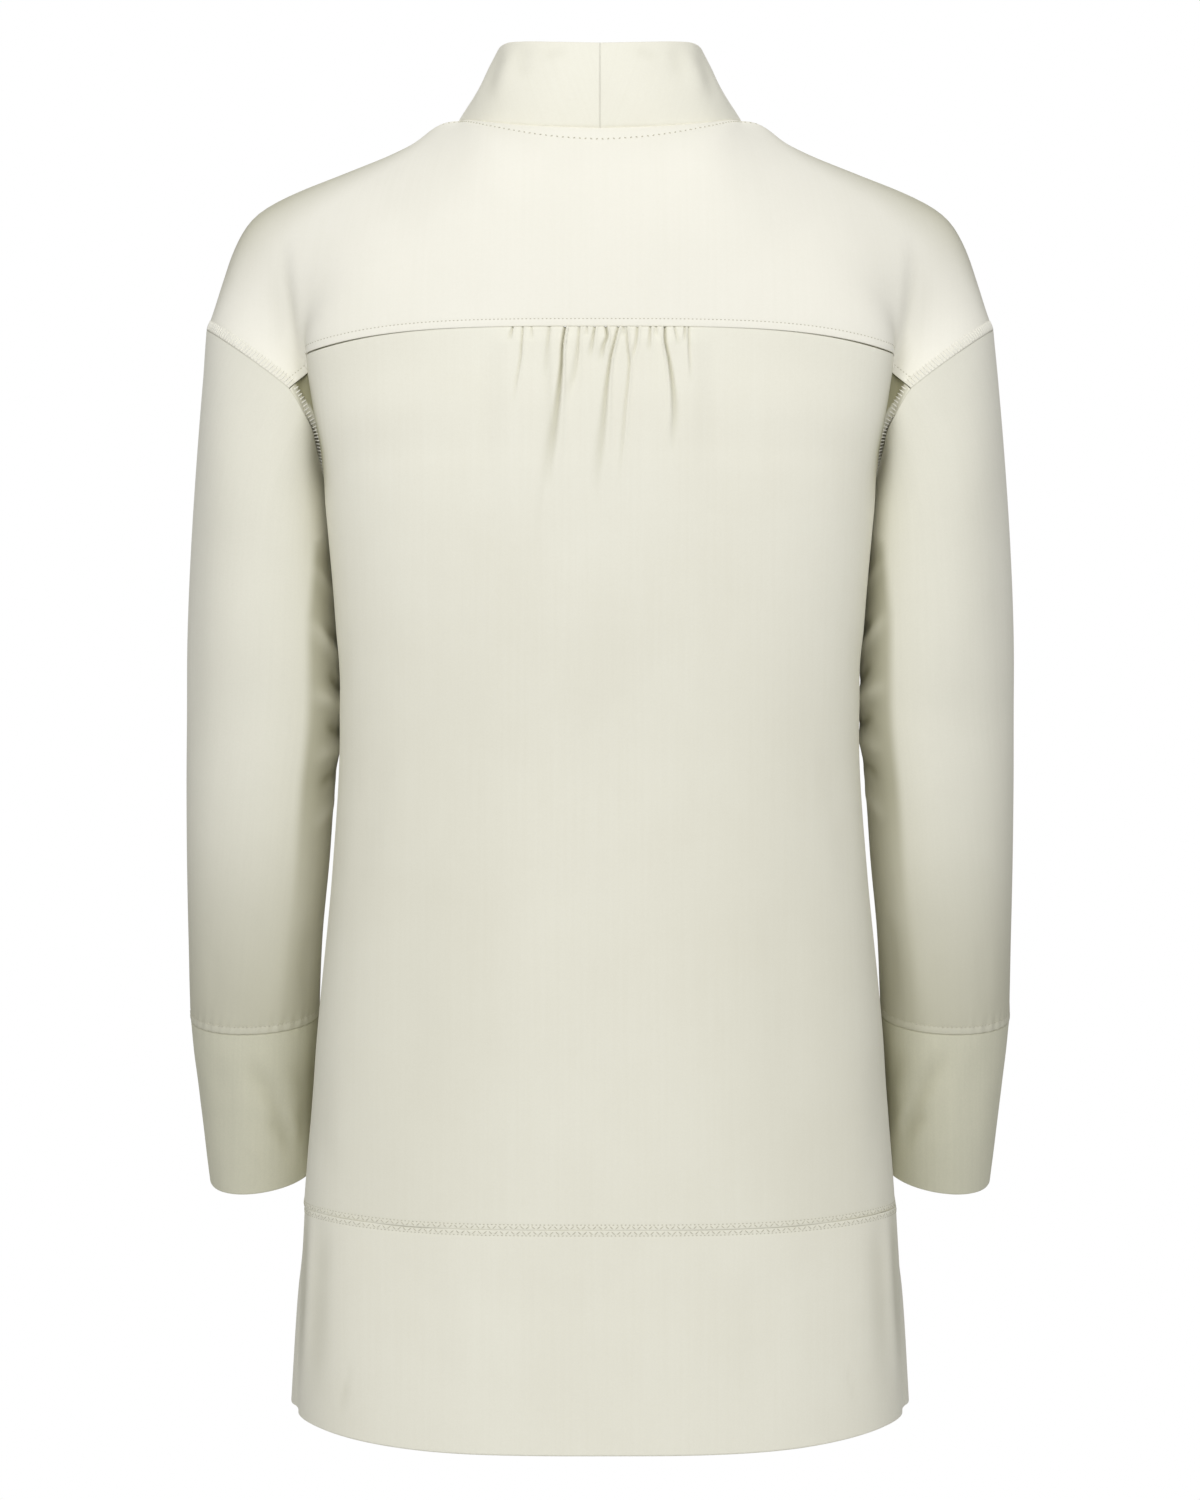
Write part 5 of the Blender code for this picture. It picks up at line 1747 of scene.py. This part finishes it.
@dataclass
class Cuff(SleevePiece):
    """One deep plain cuff, its mouth turned in."""

    kind: ClassVar[str] = "cuff"
    cut: Cut = Cut(246, 124)
    girth: float = 236.0
    turned: float = 22.0            # how deep its mouth is turned in
    inner_strip_painted_shade: float = 0.3         # painted shade in the strip on its inner side
    creases: tuple[Crease, ...] = (
        Crease(((54, 560), (68, 584), (78, 622)), 2.0, 6, 0.14),
        Crease(((84, 562), (96, 592), (90, 636)), 1.8, 7, 0.14),
        Crease(((70, 592), (78, 608), (82, 636)), 1.2, 5, 0.12),
        Crease(((36, 556), (40, 596), (30, 634)), 1.0, 9),
        Crease(((74, 596), (84, 606), (92, 624)), -1.2, 4),
        Crease(((98, 552), (106, 592), (100, 646)), 1.3, 7, 0.3),
        Crease(((64, 600), (74, 612), (82, 626)), 0.8, 4, 0.1),
        Crease(((60, 588), (70, 600), (80, 610)), -0.8, 3, -0.05),
        Crease(((50, 612), (58, 622), (60, 636)), -0.5, 3),
        Crease(((150, 558), (158, 590), (150, 632)), 0.9, 9),
        Crease(((186, 560), (194, 600), (206, 636)), 0.9, 10),
        Crease(((216, 556), (222, 590), (218, 630)), 0.7, 9),
        Crease(((8, 566), (12, 600), (6, 636)), 0.5, 9))

    def build(self) -> Cloth:
        """Shape the cloth.

        Returns:
            The shaped piece.
        """
        cloth, _, around, down = self.tube(
            600.0, 2.0, np.linspace(FORM.CUFF_DOWN, FORM.MOUTH_DOWN, 201),
            fine_ends(fine=0.35, coarse=2.6, band=4))
        cloth.pinch(cloth.down, depth=0.15, width=0.5, shade=0.35)
        # painted shade in a strip on the inner side
        cloth.shade += self.inner_strip_painted_shade * between(92, 106, 124, 146, around)
        cloth.pucker(cloth.down, cloth.across, reach=5.0, pitch=5.2, height=0.2)
        shift = 0.0 if self.is_left else 4.0
        cloth.crease(self.creases, around - shift, down + shift)
        cloth.turn_edge(cloth.up, self.turned)
        return cloth


@dataclass
class Collar(SidedPiece):
    """One half of the stand collar, cut in one with its front band and doubled at its free edge."""

    kind: ClassVar[str] = "collar"
    held: ClassVar[str] = "folded"
    cut: Cut = Cut(56, 960)
    thickness: float = 2.7          # its layers together
    creases: tuple[Crease, ...] = (  # millimetres along from the centre back, and from the free edge
        Crease(((50, 4), (58, 20), (64, 44)), -1.2, 6),
        Crease(((62, 2), (72, 18), (76, 44)), 1.2, 6, 0.06),
        Crease(((42, 2), (48, 14), (46, 30)), 0.7, 5, 0.07),
        Crease(((18, 5), (28, 9), (38, 13)), 0.5, 4, 0.07),
        Crease(((88, 10), (98, 28), (108, 44)), 0.6, 8),
        Crease(((24, 16), (30, 30), (26, 44)), 0.35, 11),
        Crease(((160, 8), (184, 30), (214, 46)), 0.9, 9),
        Crease(((236, 6), (262, 24), (290, 34)), 0.7, 9),
        Crease(((420, 10), (460, 26), (520, 30)), 0.4, 9),
        Crease(((700, 12), (770, 24), (840, 22)), 0.4, 9))

    def build(self) -> Cloth:
        """Shape the cloth.

        Returns:
            The shaped piece.
        """
        keys = np.linspace(0, 5, 1001)
        middle = FORM.collar(keys, np.array([0.5]))[0]
        stations = places_by_length(middle, keys, fine_ends(fine=0.7, coarse=3.4, band=4))
        keys = np.linspace(1, 0, 101)
        across = places_by_length(FORM.collar(np.array([0.4, 0.5, 0.6]), keys)[:, 1], keys,
                                  fine_ends(fine=0.4, coarse=2.6, band=2))
        cloth = Cloth(self.cloth_name, self.sided(FORM.collar(stations, across)), wall=COLLAR_WALL)
        cloth.thickness[:] = self.thickness
        cloth.face_straight(0 if self.is_left else -1)
        along, from_hem = self.from_edges(cloth)
        cloth.pinch(cloth.up, depth=0.9, width=1.4, shade=0.0)
        cloth.pinch(along, depth=0.06, width=0.3, shade=0.08)
        cloth.crease(self.creases, along, cloth.down)
        for distance in (cloth.down, from_hem):
            cloth.round_edge(distance)
        return cloth


# --- the studio -----------------------------------------------------------------------------------------

@dataclass
class Studio:
    """A plain pale floor, plain soft light and the photograph's camera."""

    distance: float = 3.3           # from the camera to the garment's middle plane
    frame_height: float = 0.915     # how much of that plane the picture shows
    middle_z: float = -0.3843       # the height at the picture's middle
    floor_z: float = -1.38
    floor_radius: float = 3.0
    floor_solid: float = 0.9        # the radius from which it fades
    floor_colour: tuple[float, float, float] = (0.86, 0.86, 0.85)
    lamps: tuple[tuple[str, tuple[float, float, float], float, float], ...] = (     # place, width, watts
        ("key", (1.2, 2.9, 1.1), 1.6, 36.0), ("side", (-1.2, 3.0, 1.0), 1.8, 31.0),
        ("top", (0, 1.3, 2.2), 1.8, 14.5), ("fill", (0, -2.6, 1.2), 2.0, 34.0))
    ambient: float = 0.335          # the backdrop's light on the garment

    def build(self) -> None:
        """Set the camera, the lights, the world and the floor."""
        scene = bpy.context.scene
        scene.view_settings.view_transform = "Standard"
        camera = bpy.data.cameras.new("camera")
        camera.lens = camera.sensor_width * self.distance / self.frame_height
        eye = bpy.data.objects.new("camera", camera)
        eye.location = (0, self.distance, self.middle_z)
        eye.rotation_euler = (math.pi / 2, 0, math.pi)
        scene.collection.objects.link(eye)
        scene.camera = eye
        for lamp in self.lamps:
            self.light(*lamp)
        self.world(scene)
        self.floor()

    def light(self, name: str, place: tuple[float, float, float], size: float, watts: float) -> None:
        """Hang a large soft lamp that faces the garment.

        Args:
            name: the lamp's name.
            place: where it hangs.
            size: its width.
            watts: its power.
        """
        lamp = bpy.data.lights.new(name, "AREA")
        lamp.energy, lamp.size = watts, size
        holder = bpy.data.objects.new(name, lamp)
        holder.location = place
        aim = Vector((0, 0, self.middle_z)) - Vector(place)
        holder.rotation_euler = aim.to_track_quat("-Z", "Y").to_euler()
        bpy.context.scene.collection.objects.link(holder)

    def world(self, scene: bpy.types.Scene) -> None:
        """Put a white backdrop all round that lights the garment evenly."""
        world = bpy.data.worlds.new("backdrop")
        scene.world = world
        world.use_nodes = True
        nodes = Nodes(world.node_tree)
        seen = nodes.add("ShaderNodeLightPath").outputs["Is Camera Ray"]
        background = world.node_tree.nodes["Background"]
        strength = nodes.add("ShaderNodeMix", {0: seen, 2: self.ambient, 3: 1.0}).outputs[0]
        nodes.tree.links.new(strength, background.inputs["Strength"])
        background.inputs["Color"].default_value = (1.0, 1.0, 1.0, 1.0)

    def floor(self) -> None:
        """Lay a pale round floor whose rim fades into the backdrop."""
        bpy.ops.object.select_all(action="DESELECT")
        bpy.ops.mesh.primitive_circle_add(vertices=96, radius=self.floor_radius, fill_type="TRIFAN",
                                          location=(0, 0, self.floor_z))
        disc = bpy.context.object
        disc.name = "floor"
        bpy.ops.object.transform_apply(location=True)
        material, shader, nodes = new_finish("pale_floor")
        place = nodes.add("ShaderNodeTexCoord").outputs["Object"]
        flat = nodes.add("ShaderNodeVectorMath", {0: place, 1: (1.0, 1.0, 0.0)},
                         operation="MULTIPLY").outputs[0]
        reach = nodes.add("ShaderNodeVectorMath", {0: flat}, operation="LENGTH").outputs["Value"]
        there = nodes.add("ShaderNodeMapRange", {0: reach, 1: self.floor_solid, 2: self.floor_radius,
                                                 3: 1.0, 4: 0.0},
                          interpolation_type="SMOOTHSTEP").outputs[0]
        nodes.tree.links.new(there, shader.inputs["Alpha"])
        shader.inputs["Base Color"].default_value = (*self.floor_colour, 1.0)
        shader.inputs["Roughness"].default_value = 0.9
        disc.data.materials.append(material)


def main() -> None:
    """Build the cardigan piece by piece."""
    logging.basicConfig(level=logging.INFO, format="%(name)s: %(message)s")
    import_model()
    bpy.ops.object.select_all(action="DESELECT")
    Studio().build()
    body, yoke = BODY_JERSEY.build(), LIT_YOKE_JERSEY.build()
    sleeves, cuffs = LIT_SLEEVE_JERSEY.build(), SHADED_CUFF_JERSEY.build()
    stitcher = Stitcher(SHADED_SUNK_THREAD.build(), LIT_RAISED_THREAD.build())
    BackYoke().dress(yoke, stitcher)
    BackBody().dress(body, stitcher)
    HemBand("hem_band_back", Cut(488, 154)).dress(body, stitcher)
    for side in Side:
        Front(side).dress(body, stitcher)
        HemBand(f"hem_band_{side.name.lower()}", Cut(190, 152)).dress(body, stitcher)
        Sleeve(side).dress(sleeves, stitcher)
        Cuff(side).dress(cuffs, stitcher)
        Collar(side).dress(body, stitcher)


if __name__ == "__main__":
    main()
